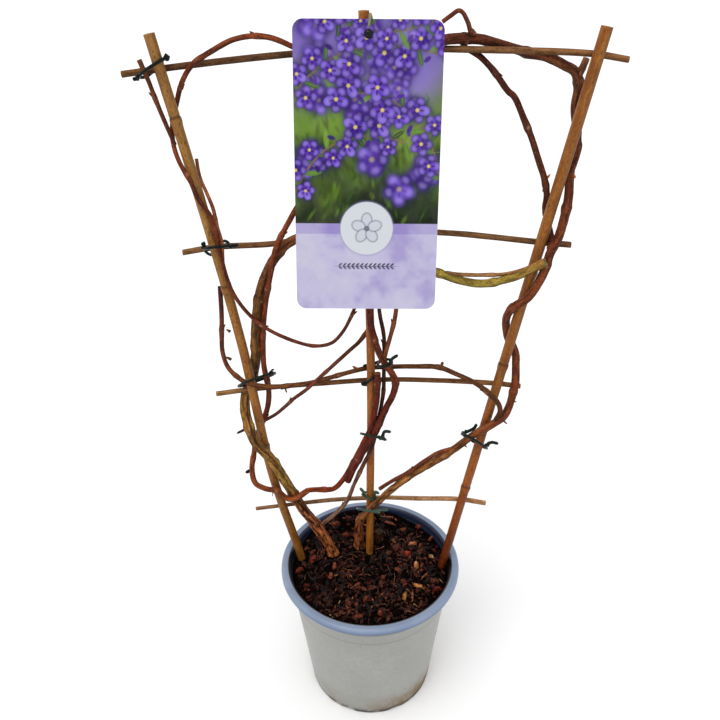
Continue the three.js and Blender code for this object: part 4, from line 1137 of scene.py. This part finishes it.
def make_shoot(mould, one, seed):
    points, distance = smooth_route(one["route"], 1.0)
    sides = one["sides"]
    share = distance / distance[-1]
    thick = thickness_at(one, share)
    nodes = node_distances(distance[-1])
    age = np.interp(share, *zip(*one["age"]))[:, None]
    old = np.clip(age, 0, 1)
    swell = np.zeros_like(share)
    for at in nodes:
        away = distance - at
        swell += 0.2 * np.exp(-(away / np.where(away < 0, 4.5, 2.2)) ** 2)
    space = limb_space(distance, sides, thick[:, None])
    lump = layered_noise(space * [0.22, 0.22, 0.09], seed)
    ridge = lattice_noise(space * [0.9, 0.9, 0.10], seed + 3)
    crack = np.abs(layered_noise(space * [0.5, 0.5, 0.055], seed + 7, 2))
    split = np.abs(lattice_noise(space * [1.1, 1.1, 0.07], seed + 23))
    flake = layered_noise(space * [0.5, 0.5, 0.2], seed + 11)
    patch = layered_noise(space * [0.12, 0.12, 0.05], seed + 15)
    open_crack = np.maximum(1 - smooth_step(crack, 0.04, 0.2), 0.7 * (1 - smooth_step(split, 0.03, 0.16)))
    radii = thick[:, None] * (1 + swell[:, None] + 0.06 * lump + one["rough"] * 0.3 * lump)
    radii = radii + 0.10 * ridge - old * 0.5 * open_crack + np.clip(age - 0.4, 0, 2) * 0.55 * flake
    radii = np.maximum(radii, thick[:, None] * 0.6)
    colours = colour_along(one["tones"], share)[:, None]
    colours = toned(colours, [1.6, 1.5, 1.35], smooth_step(flake, 0.0, 0.6) * np.clip(0.25 + 0.6 * old, 0, 1))
    colours = toned(colours, [0.4, 0.3, 0.26], smooth_step(ridge, 0.0, 0.7) * 0.7)
    # Painted shade down in the open cracks, which are also sunk into the mesh.
    colours = mixed(colours, linear((26, 12, 8)), open_crack * np.clip(old * 1.2, 0.12, 1))
    colours = toned(colours, [1.45, 1.45, 1.35], smooth_step(patch, 0.1, 0.6) * 0.6)
    ring = np.clip(swell * 5, 0, 1)[:, None]
    colours = mixed(colours, colours * [1.15, 1.1, 1.05] + 0.012, ring * 0.5)
    # Painted light and shade: the bark lighter and warmer on the side facing up and forward, darker underneath.
    colours = painted_light_and_shade(colours, points)
    # Seams: dark lines painted along the stem as painted shade of furrows.
    for start, end, side, width in one.get("shaded_furrows", ()):
        colours = painted_furrow_shade(colours, points, share, start, end, side, width / thick)
    # A pale scar below each node, on a side of its own.
    for i, at in enumerate(nodes):
        turn = np.angle(np.exp(1j * (around(sides) - seed - 2.4 * i)))
        scar = np.exp(-((distance - at + 1.2) / 0.9) ** 2)[:, None] * np.exp(-(turn * thick[:, None] / 1.1) ** 2)
        colours = mixed(colours, linear((186, 150, 116)), scar * 0.8)
    sweep(mould, points, distance, radii, colours, end_colour=one.get("end", (150, 104, 66)))
    make_buds(mould, one, distance[-1])


def painted_furrow_shade(colours, points, share, start, end, side, width):
    """A dark seam along a stem, on the side that faces `side`: painted shade of a furrow that the mesh doesn't
    have.
    """
    side = unit(np.array(side, float))
    tangents = carried_frames(points)[0]
    across = np.cross(tangents, side)
    across /= np.linalg.norm(across, axis=1, keepdims=True)
    out = spokes(points, colours.shape[1])
    off = np.einsum("rsk,rk->rs", out, across) + 0.25 * layered_noise(points * 0.1, 51)[:, None]
    there = np.einsum("rsk,k->rs", out, side) > 0
    ends = smooth_step(share, start, start + 0.02) * (1 - smooth_step(share, end - 0.02, end))
    amount = (1 - smooth_step(np.abs(off), width[:, None] * 0.5, width[:, None] * 1.2)) * there * ends[:, None]
    return mixed(colours, linear((58, 22, 12)), amount * 0.85)


# Short stubs, spurs and knots: from where to where, thickness at both ends and colour.
LEFT_STUBS = [
    ([-104.1, 4.3, 302.5], [-114.2, 3.8, 297.2], 1.3, 1.1, (38, 30, 26)),
    ([-106.4, 14.8, 248.6], [-112.3, 14.3, 245.2], 1.0, 1.8, (14, 12, 12)),
    ([-106.8, 18.2, 318.4], [-111.2, 17.7, 319.4], 1.8, 0.9, (96, 74, 42)),
    ([-87.7, 5.2, 231.9], [-88.6, 4.7, 224.8], 0.5, 0.35, (120, 84, 52)),
    ([-128.2, 18.1, 583.1], [-126.4, 17.4, 586.2], 2.3, 1.7, (96, 60, 42)),
    ([-114.6, 14, 366], [-117.6, 13, 368.6], 1.3, 0.7, (84, 62, 38)),
    ([-112.6, 14.5, 392], [-115, 14, 394], 1.2, 0.7, (84, 62, 38)),
]
RIGHT_STUBS = [
    ([-6.8, 26.6, 345.9], [-13.1, 26.1, 349.7], 1.1, 0.9, (120, 84, 52)),
    ([61.3, 14.8, 353.7], [62.6, 14.3, 359.6], 1.3, 1.5, (104, 72, 46)),
    ([80.7, -0.9, 286], [85.6, -1.4, 282.4], 1.1, 0.6, (96, 58, 38)),
    ([112.8, -1.5, 312.5], [118.2, -2, 306.9], 1.1, 0.6, (92, 52, 34)),
    ([120.6, 3.5, 327.4], [125.4, 3, 326], 1.1, 0.6, (100, 60, 40)),
    ([123.3, 14.1, 361.5], [127.2, 13.6, 361.1], 2.0, 1.3, (150, 108, 80)),
    ([131.4, 15.2, 513.8], [134.9, 14.7, 518.6], 1.4, 0.6, (146, 92, 62)),
    ([149.9, 16.9, 516.4], [154.4, 16.4, 515.8], 2.1, 1.4, (166, 124, 98)),
    ([73.7, 23.1, 614.3], [70.9, 22.6, 617.6], 2.2, 1.5, (112, 74, 56)),
    ([148.1, 22.3, 586.1], [149.2, 19.6, 588.6], 3.3, 2.4, (146, 108, 84)),
    ([-70.6, 10.2, 339.6], [-69.2, 9.7, 334.6], 1.0, 0.7, (88, 52, 36)),
]


def make_stub(mould, start, end, root, tip, tone, seed):
    start, end = np.array(start, float), np.array(end, float)
    share = np.linspace(-0.15, 1, 12)
    points = start + (end - start) * share[:, None]
    sides = 12
    radii = (root + (tip - root) * share)[:, None] * (1 + 0.16 * lattice_noise(points * 0.9, seed))[:, None]
    radii = radii * np.sqrt(np.clip((1 - share) / 0.16, 0.25, 1))[:, None] * np.ones((1, sides))
    fade = 0.4 * layered_noise(points * 1.1, seed + 1)[:, None, None]
    colours = linear(tone) * (1 + fade) * np.ones((1, sides, 1))
    # The stub's colours get painted light on the upper front side and painted shade underneath.
    sweep(mould, points, share * np.linalg.norm(end - start), radii, painted_light_and_shade(colours, points))


def make_buds(mould, one, length):
    """Pointed scaly buds on alternate sides of the nodes of the thinner shoots."""
    if one.get("bare") or one["root"] > BIGGEST_BUDDED_ROOT:
        return
    points, distance = smooth_route(one["route"], 1.0)
    tangents = carried_frames(points)[0]
    steps = max(2, round(length / STEM_STEP))
    made = 0
    for ring in range(RINGS_BETWEEN_NODES - 1, steps - 1, 2 * RINGS_BETWEEN_NODES):
        share = ring / steps
        at, along = (np.array([np.interp(share * length, distance, values[:, i]) for i in range(3)])
                     for values in (points, tangents))
        along = unit(along)
        side = unit(np.cross([0, -1, 0], along)) * (-1 if made % 2 else 1)
        direction = unit(side * 0.75 + along)
        bud(mould, at + direction * thickness_at(one, share) * 0.5, direction, along)
        made += 1


def bud(mould, base, direction, along):
    """One bud: a plump cone with overlapping scales and a darker tip."""
    height = np.array([-0.6, 0.2, 0.9, 1.0, 1.8, 1.95, 2.8, 2.95, 3.7, BUD_LENGTH])
    reach = np.array([0.9, 1.25, 1.3, 1.12, 1.12, 0.88, 0.8, 0.55, 0.35, 0.05])
    sides = 10
    points = base + direction * height[:, None]
    points = points + along * (0.05 * np.maximum(height, 0)[:, None] ** 1.6)
    radii = reach[:, None] * (1 + 0.1 * np.cos(around(sides) * 2 + height[:, None] * 2))
    tones = colour_along([(0, (104, 62, 42)), (0.5, (120, 70, 46)), (1, (66, 34, 26))], height / BUD_LENGTH)
    tones = tones[:, None] * np.where(np.arange(sides) % 3 == 0, 0.75, 1.0)[:, None]
    sweep(mould, points, height, radii, tones)


def make_vine(name, shoots, stubs, seed):
    mould = Mould()
    for i, one in enumerate(shoots):
        make_shoot(mould, one, seed + 20 * i)
    for i, stub in enumerate(stubs):
        make_stub(mould, *stub, seed + 500 + i)
    return piece(name + "_stems", mould, BARK, [name], crease=60)


# ------------------------------------------------------------------ wire ties

# Each tie is an oval loop about `at`, `wide` by `deep`, that hangs down towards the back by `dip`.
# Its front half slants up from +X by `slant`; its back half turns on towards `back` to clear a crossbar.
# A tail leaves the loop at an angle: 0 is the wide way, 90 the back and -90 the front.
TIES = {
    "tie_top_left": dict(
        at=[-144.8, 16.5, 596.8], wide=12.4, deep=9.2, slant=30, back=44, dip=10, tone=(8, 12, 9),
        tails=[[-20, [-133.4, 11, 603.4], [-133.8, 10, 606.4]], [-150, [-157.4, 10.6, 589.4]]]),
    "tie_upper_left": dict(
        at=[-115.2, 13.9, 465.3], wide=9.9, deep=11.6, slant=6, back=74, dip=24, tone=(9, 14, 11),
        tails=[[-25, [-102.6, 9.8, 468.2], [-98, 12.4, 468]],
               [-160, [-124.2, 10, 468.6], [-123.5, 10, 472]]]),
    "tie_lower_left": dict(
        at=[-94, 12.6, 346.2], wide=17, deep=12.7, slant=22, back=22, dip=34, tone=(14, 21, 16),
        tails=[[-35, [-80.2, 5, 357.4]]]),
    "tie_centre": dict(
        at=[2.6, 21.9, 338.7], wide=7.7, deep=8.1, slant=36, back=75, dip=32, tone=(12, 18, 14),
        tails=[[-150, [-4.8, 14, 339.4]]]),
    "tie_knot": dict(
        at=[14.2, 12.1, 361], wide=6, deep=8.6, slant=14, back=14, dip=12, tone=(16, 26, 20),
        tails=[[-45, [19.7, 4, 369.6], [24.5, 4, 373.3]],
               [90, [8.6, 25.4, 354], [1.8, 26, 350.9], [-4.1, 25, 350.7]]]),
    "tie_bundle": dict(
        at=[2.8, 14, 284.8], wide=9.9, deep=11.4, slant=-16, back=-16, dip=36, tone=(28, 42, 34),
        tails=[[-60, [12, 2.6, 290], [15.6, 2, 288.9]], [-14, [14.4, 6, 295.2], [19.5, 6, 294.5]]]),
    "tie_bottom_bar": dict(
        at=[0.9, 22.9, 205.7], wide=8.4, deep=9.3, slant=-32, back=-93, dip=36, tone=(58, 74, 62),
        tails=[[-140, [-4.6, 13, 220.1], [-8.3, 13, 226.2]], [-40, [5.6, 14.4, 220], [9.4, 14.4, 218]]]),
    "tie_trunk": dict(
        at=[-1, 14.3, 197.1], wide=10.4, deep=12.6, slant=-15, back=-15, dip=42, tone=(58, 76, 66),
        tails=[[-60, [9.9, 2.4, 208.4], [17.3, 2.4, 208.5]]]),
    "tie_right": dict(
        at=[92, 1.1, 287], wide=13.9, deep=10.7, slant=-36, back=-36, dip=36, tone=(16, 26, 20),
        tails=[[-45, [105.4, -4.6, 289.5], [112.1, -3, 286.9]],
               [165, [91.2, 3.8, 298.8], [93.3, 3.6, 303.4]]]),
}


def on_loop(tie, degrees):
    turn = math.radians(degrees)
    across, behind = tie["wide"] * math.cos(turn), tie["deep"] * math.sin(turn)
    rise = math.radians(tie["slant"] + (tie["back"] - tie["slant"]) * max(0.0, math.sin(turn)))
    return [tie["at"][0] + across * math.cos(rise), tie["at"][1] + behind,
            tie["at"][2] + across * math.sin(rise) - behind * math.tan(math.radians(tie["dip"]))]


def make_wire(mould, route, radius, tone, sides=10):
    points, distance = smooth_route(route, 0.7)
    radii = np.full((len(points), sides), radius)
    end = np.minimum(distance, distance[-1] - distance)
    radii *= np.sqrt(np.clip(end / (radius * 0.9), 0.12, 1))[:, None]
    fade = layered_noise(points * 0.15, 9)[:, None, None]
    colours = linear(tone) * (1 + 0.35 * fade) * np.ones((len(points), sides, 1))
    sweep(mould, points, distance, radii, colours, end_colour=tone)


def make_tie(name, tie):
    mould = Mould()
    make_wire(mould, [on_loop(tie, degrees) for degrees in range(75, 448, 12)],
              TIE_WIRE_RADIUS * 0.88, tie["tone"])
    for degrees, *tail in tie["tails"]:
        make_wire(mould, [on_loop(tie, degrees), *tail], TIE_WIRE_RADIUS * 1.06, tie["tone"])
        # Where the two ends were twisted together.
        start = np.array(on_loop(tie, degrees))
        heading = unit(np.array(tail[0], float) - start)
        side = unit(np.cross(heading, [0, 0, 1]))
        up = np.cross(side, heading)
        twist = [start + heading * (TWIST_START + TWIST_LENGTH * t)
                 + TWIST_RADIUS * (side * math.cos(TWIST_TURN * t) + up * math.sin(TWIST_TURN * t))
                 for t in np.linspace(0, 1, 12)]
        make_wire(mould, twist, TIE_WIRE_RADIUS * 0.62, tie["tone"])
    return piece(name + "_wire", mould, TIE_PLASTIC, [name])


# ------------------------------------------------------------------ hanging card

PRINT_WIDTH_STEPS, PRINT_HEIGHT_STEPS = 200, 388
PICTURE_BOTTOM = -133.0
STRIP_BOTTOM = -140.4
DISC = np.array([0.0, -136.7])
DISC_RADIUS = 18.6
GARLAND_HEIGHT = -163.6


def toward(degrees):
    return np.array([math.cos(math.radians(degrees)), math.sin(math.radians(degrees))])


def hung(corners):
    """From the card's own plane (X across, Y up, Z out of the front) to where it hangs."""
    turn = Matrix.Rotation(math.pi / 2 - CARD_LEAN, 3, "X") @ Matrix.Rotation(-CARD_SWING, 3, "Z")
    return np.asarray(corners, float) @ np.array(turn).T + CARD_TOP


class Picture:
    """Colours over the card's face, painted with soft dabs."""

    def __init__(self, x, y):
        self.x, self.y = x, y
        self.tones = np.zeros((*x.shape, 3))

    def dab(self, x, y, length, width, degrees, colour, edge=0.25, strength=1.0):
        """An oval, its long way turned up from +X."""
        turn = math.radians(degrees)
        dx, dy = self.x - x, self.y - y
        near = (np.abs(dx) < 1.6 * max(length, width)) & (np.abs(dy) < 1.6 * max(length, width))
        along = (dx[near] * math.cos(turn) + dy[near] * math.sin(turn)) / length
        across = (dy[near] * math.cos(turn) - dx[near] * math.sin(turn)) / width
        away = np.sqrt(along ** 2 + across ** 2)
        amount = (1 - smooth_step(away, 1 - edge, 1 + edge)) * strength
        self.tones[near] = mixed(self.tones[near], linear(colour), amount)

    def glow(self, x, y, size, colour, strength=1.0):
        """A far, blurred spot."""
        away = np.hypot(self.x - x, self.y - y) / size
        self.tones = mixed(self.tones, linear(colour), np.exp(-away ** 2) * strength)

    def stroke(self, points, width, colour, strength=1.0):
        for start, end in zip(points, points[1:]):
            start, end = np.array(start, float), np.array(end, float)
            length = np.linalg.norm(end - start)
            middle = (start + end) / 2
            degrees = math.degrees(math.atan2(*(end - start)[::-1]))
            self.dab(*middle, length / 2 + width, width, degrees, colour, 0.35, strength)


PETALS = [(74, 38, 152), (92, 58, 176), (58, 26, 130), (112, 84, 192), (84, 44, 158)]
BUDS = [(46, 14, 98), (60, 22, 122), (74, 34, 138)]
LEAVES = [(58, 92, 24), (84, 122, 34), (34, 58, 16), (104, 138, 48)]
UNDERGROWTH = [(24, 42, 12), (52, 84, 20), (96, 132, 34), (14, 24, 8), (70, 104, 28)]
STALK, LEAF_VEIN, FLOWER_EYE = (120, 104, 62), (128, 150, 84), (206, 182, 96)
PETAL_LIGHT, PETAL_SHADE, PETAL_VEIN = (150, 130, 206), (22, 10, 62), (38, 14, 88)
DISC_PAPER, DISC_LINE, GARLAND = (194, 198, 204), (92, 98, 112), (38, 30, 66)


def paint_background(picture, random):
    share = np.clip(-picture.y / -PICTURE_BOTTOM, 0, 1)
    picture.tones = colour_along([(0, (96, 78, 146)), (0.28, (98, 104, 74)), (0.52, (88, 118, 30)),
                                  (0.76, (44, 68, 20)), (1, (14, 22, 12))], share)
    spots = [((-50, 50), (-45, 0), (9, 20), [(128, 108, 186), (96, 76, 164), (168, 158, 196)], 26, 0.65),
             ((-50, 50), (-120, -40), (6, 15), [(112, 158, 30), (74, 116, 28), (140, 166, 60)], 44, 0.6),
             ((-50, 50), (-135, -80), (5, 12), [(12, 20, 8), (24, 40, 12), (16, 26, 12)], 50, 0.85)]
    for across, up, size, colours, count, strength in spots:
        for _ in range(count):
            picture.glow(random.uniform(*across), random.uniform(*up), random.uniform(*size),
                         pick(random, colours), strength * random.uniform(0.5, 1))
    for _ in range(260):
        place = (random.uniform(-50, 50), random.uniform(-132, -48))
        tone = pick(random, UNDERGROWTH)
        size = (random.uniform(2, 5), random.uniform(0.6, 1.6))
        picture.dab(*place, *size, random.uniform(50, 130), tone, 0.8, 0.45)
    grass = flat_points(picture.x * 0.9, picture.y * 0.12)
    blades = layered_noise(grass * 0.5, 4) * smooth_step(-picture.y, 70, 120)
    picture.tones = mixed(picture.tones, picture.tones * 0.55, np.clip(blades, 0, 1) * 0.6)


def paint_leaf(picture, spot, length, degrees, colour):
    middle = spot + toward(degrees) * length
    picture.dab(*middle, length, length * 0.3, degrees, colour, 0.22, 0.95)
    picture.dab(*middle, length * 0.82, 0.24, degrees, LEAF_VEIN, 0.5, 0.6)


def paint_blossom(picture, random, x, y, size, blur=0.0):
    """An open flower with five round petals."""
    start = random.uniform(0, 72)
    picture.dab(x, y, size * 1.1, size * 1.1, 0, (36, 24, 74), 0.5, 0.5)
    for i in range(5):
        lean = start + 72 * i
        out = toward(lean) * size
        for reach, length, width, colour, edge, strength in (
                (0.52, 0.52, 0.44, PETAL_SHADE, 0.3 + blur, 0.7),
                (0.54, 0.48, 0.37, pick(random, PETALS), 0.18 + blur, 0.97),
                (0.72, 0.2, 0.24, PETAL_LIGHT, 0.7, 0.5),
                (0.34, 0.24, 0.07, PETAL_VEIN, 0.4, 0.85 - blur)):
            picture.dab(x + out[0] * reach, y + out[1] * reach, size * length, size * width, lean,
                        colour, edge, strength)
    picture.dab(x, y, size * 0.15, size * 0.15, 0, FLOWER_EYE, 0.3 + blur, 0.95 - blur)


def paint_branch(picture, random, start, middle, end, steps):
    """A leafy branch in a bow, with flowers and buds on both sides."""
    start, middle, end = (np.array(p, float) for p in (start, middle, end))
    line = [start * (1 - t) ** 2 + middle * 2 * t * (1 - t) + end * t * t for t in np.linspace(0, 1, steps)]
    picture.stroke(line, 0.8, STALK, 0.9)
    for i, spot in enumerate(line[1:]):
        side = -1 if i % 2 else 1
        lean = math.degrees(math.atan2(*(spot - line[i])[::-1])) + side * random.uniform(40, 70)
        paint_leaf(picture, spot, random.uniform(4.4, 7.0), lean, pick(random, LEAVES))
        tip = spot - toward(lean + side * 30) * random.uniform(4, 8)
        picture.stroke([spot, tip], 0.3, STALK, 0.8)
        if i % 3 == 2:
            picture.dab(*tip, 2.8, 1.5, lean, pick(random, BUDS), 0.25, 0.95)
        else:
            paint_blossom(picture, random, *tip, random.uniform(6.0, 9.0))


def paint_lower_panel(picture):
    """Washed paper under the picture, a darker strip above it and a leafy garland across it."""
    below = picture.y < STRIP_BOTTOM
    space = flat_points(picture.x, picture.y)
    cloud = layered_noise(space * 0.045, 8, 4) + 0.35 * layered_noise(space * 0.16, 12)
    wash = mixed(linear((176, 172, 200)), linear((152, 142, 188)), smooth_step(cloud, -0.2, 0.75))
    wash = mixed(wash, linear((186, 184, 200)), smooth_step(-cloud, 0.1, 0.7) * 0.6)
    picture.tones[below] = wash[below]
    strip = (picture.y <= PICTURE_BOTTOM) & (picture.y >= STRIP_BOTTOM)
    strip_wash = mixed(linear((160, 152, 192)), linear((138, 124, 182)), smooth_step(cloud, -0.4, 0.6))
    picture.tones[strip] = strip_wash[strip]
    picture.dab(0, GARLAND_HEIGHT, 21, 0.3, 0, GARLAND, 0.3, 0.95)
    for i in range(-6, 7):
        for side in (-1, 1):
            picture.dab(i * 3.1, GARLAND_HEIGHT + side * 1.2, 1.5, 0.6, side * 38, GARLAND, 0.25, 0.95)


def paint_disc(picture):
    """A plain pale disc with a soft shade round it and the outline of a flower."""
    away = np.hypot(picture.x - DISC[0], picture.y - DISC[1])
    shade = 1 - smooth_step(away, DISC_RADIUS, DISC_RADIUS + 1.6)
    picture.tones = mixed(picture.tones, linear((120, 112, 156)), shade * 0.5)
    paper = 1 - smooth_step(away, DISC_RADIUS - 0.3, DISC_RADIUS + 0.3)
    picture.tones = mixed(picture.tones, linear(DISC_PAPER), paper)
    for lean in range(90, 450, 72):
        middle = DISC + toward(lean) * 6
        picture.dab(*middle, 5.2, 4.0, lean, DISC_LINE, 0.12, 0.85)
        picture.dab(*middle, 4.5, 3.3, lean, (186, 190, 200), 0.12, 1.0)
    picture.dab(*DISC, 2.0, 2.0, 0, DISC_LINE, 0.2, 0.9)


def card_half_width(y):
    """Half the card's width at a height below its top, with its rounded corners."""
    from_end = np.minimum(-y, CARD_HEIGHT + y)
    inset = np.clip(CARD_CORNER_RADIUS - from_end, 0, CARD_CORNER_RADIUS)
    return CARD_WIDTH / 2 - CARD_CORNER_RADIUS + np.sqrt(CARD_CORNER_RADIUS ** 2 - inset ** 2)


def make_card():
    random = np.random.default_rng(PICTURE_SEED)
    bend = CARD_CORNER_RADIUS * (1 - np.cos(np.linspace(0, math.pi / 2, 12)))
    middle = np.linspace(CARD_CORNER_RADIUS, CARD_HEIGHT - CARD_CORNER_RADIUS, PRINT_HEIGHT_STEPS - 22)[1:-1]
    rows = -np.concatenate([bend, middle, CARD_HEIGHT - bend[::-1]])
    columns = np.linspace(-1, 1, PRINT_WIDTH_STEPS)
    y = np.broadcast_to(rows[:, None], (len(rows), len(columns)))
    x = columns * card_half_width(y)
    picture = Picture(x, y)
    paint_background(picture, random)
    for _ in range(30):
        place = (random.uniform(-46, 46), -118 * random.random() ** 1.4)
        paint_blossom(picture, random, *place, random.uniform(7, 11), blur=0.5)
    for start, through, end, steps in (((-52, -116), (-30, -60), (26, -78), 13),
                                       ((52, -112), (44, -40), (-22, -46), 15),
                                       ((-52, -50), (-20, -2), (50, -22), 17),
                                       ((-30, 8), (0, -22), (54, 4), 13)):
        paint_branch(picture, random, start, through, end, steps)
    paint_lower_panel(picture)
    paint_disc(picture)
    mould = Mould()
    depth = np.full_like(x, CARD_THICKNESS)
    front = np.stack([x, y, depth], -1)
    mould.add(hung(front), ring_quads(len(rows), len(columns), closed=False)[:, ::-1], colours=picture.tones)
    # Plain back, and the edge between the two faces.
    few = np.r_[0:12, 12:len(rows) - 12:12, len(rows) - 12:len(rows)]
    back = (front * [1, 1, 0])[few][:, ::13]
    mould.add(hung(back), ring_quads(*back.shape[:2], closed=False), colours=linear((196, 192, 210)))
    outline = np.concatenate([front[0], front[1:, -1], front[-1, ::-1][1:], front[::-1, 0][1:-1]])
    edge = np.stack([outline, outline * [1, 1, 0]])
    mould.add(hung(edge), ring_quads(2, len(outline)), colours=linear((232, 230, 238)))
    return piece("label_card_print", mould, CARD_PRINT, ["label_card"], crease=35)


def make_button():
    front, back, sides = CARD_THICKNESS + 0.3, -6.6, 28
    profile = [[0.01, back], [BUTTON_PEG_RADIUS - 0.2, back], [BUTTON_PEG_RADIUS, back + 0.3],
               [BUTTON_PEG_RADIUS, front], [BUTTON_RADIUS - 0.2, front], [BUTTON_RADIUS, front + 0.25]]
    profile += [[BUTTON_RADIUS * math.cos(a), front + 0.35 + 2.3 * math.sin(a)]
                for a in np.linspace(0.05, math.pi / 2 - 0.02, 10)]
    mould = Mould()
    mould.add(hung(turned(profile, sides) - [0, CARD_HOLE_BELOW_TOP, 0]), ring_quads(len(profile), sides))
    return piece("label_button_dome", mould, BUTTON_PLASTIC, ["label_button"])


CARD_WIRE_ROUTE = [[2.4, 5.2, 621.6], [3.2, 6.2, 626], [3.6, 9, 629], [4.4, 12.6, 626.4], [4.8, 17, 621],
                   [4.5, 22.8, 616.6], [-0.2, 25.1, 615], [-5.1, 22.6, 614.6], [-5.6, 17.6, 614.8],
                   [-3.6, 13.8, 616]]


def make_label_wire():
    mould = Mould()
    make_wire(mould, CARD_WIRE_ROUTE, CARD_WIRE_RADIUS, (124, 122, 88))
    return piece("label_button_wire", mould, TIE_PLASTIC, ["label_wire"])


# ------------------------------------------------------------------ the part

make_pot()
make_soil_body()
make_bark_chips()
make_root_hairs()
for cane_name, cane in CANES.items():
    make_cane(cane_name, **cane)
for bar_name, bar in CROSSBARS.items():
    make_crossbar(bar_name, **bar)
make_vine("vine_left", LEFT_SHOOTS, LEFT_STUBS, LEFT_PLANT_SEED)
make_vine("vine_right", RIGHT_SHOOTS, RIGHT_STUBS, RIGHT_PLANT_SEED)
for tie_name, tie in TIES.items():
    make_tie(tie_name, tie)
make_card()
make_button()
make_label_wire()

# ------------------------------------------------------------------ floor, light and camera


def make_floor():
    mesh = bpy.data.meshes.new("floor")
    corners = [(x * FLOOR_REACH, y * FLOOR_REACH, 0) for x, y in ((-1, -1), (1, -1), (1, 1), (-1, 1))]
    mesh.from_pydata(corners, [], [(0, 1, 2, 3)])
    look = Finish("Pale floor", 0.9, 0.0)
    look.surface.inputs["Base Color"].default_value = (0.93, 0.93, 0.93, 1)
    mesh.materials.append(look.material)
    made = placed("floor", mesh)


def make_light(name, azimuth, elevation, strength, spread):
    light = bpy.data.lights.new(name, "SUN")
    light.energy = strength
    light.angle = math.radians(spread)
    placed(name, light).rotation_euler = (math.radians(90 - elevation), 0, math.radians(azimuth))


def make_world(strength):
    world = bpy.data.worlds.new("Soft room")
    world.use_nodes = True
    background = world.node_tree.nodes["Background"].inputs
    background["Color"].default_value = (1, 1, 1, 1)
    background["Strength"].default_value = strength
    bpy.context.scene.world = world


def make_camera():
    """At the front, above the plant and looking down on it."""
    camera = bpy.data.cameras.new("camera")
    camera.lens = CAMERA_LENS
    camera.sensor_width = 36.0
    camera.clip_end = 200.0
    forward = Vector((0, math.cos(CAMERA_PITCH), -math.sin(CAMERA_PITCH)))
    right = Vector((1, 0, 0))
    up = right.cross(forward)
    level_right = right * math.cos(CAMERA_ROLL) + up * math.sin(CAMERA_ROLL)
    level_up = up * math.cos(CAMERA_ROLL) - right * math.sin(CAMERA_ROLL)
    turn = Matrix((level_right, level_up, -forward)).transposed()
    made = placed("camera", camera)
    made.matrix_world = Matrix.Translation(Vector(CAMERA_PLACE) * MM) @ turn.to_4x4()
    bpy.context.scene.camera = made


make_floor()
make_world(strength=0.85)
make_light("key light", azimuth=-35, elevation=62, strength=1.15, spread=40)
make_light("fill light", azimuth=40, elevation=40, strength=0.25, spread=60)
make_camera()
bpy.context.scene.view_settings.view_transform = "Standard"
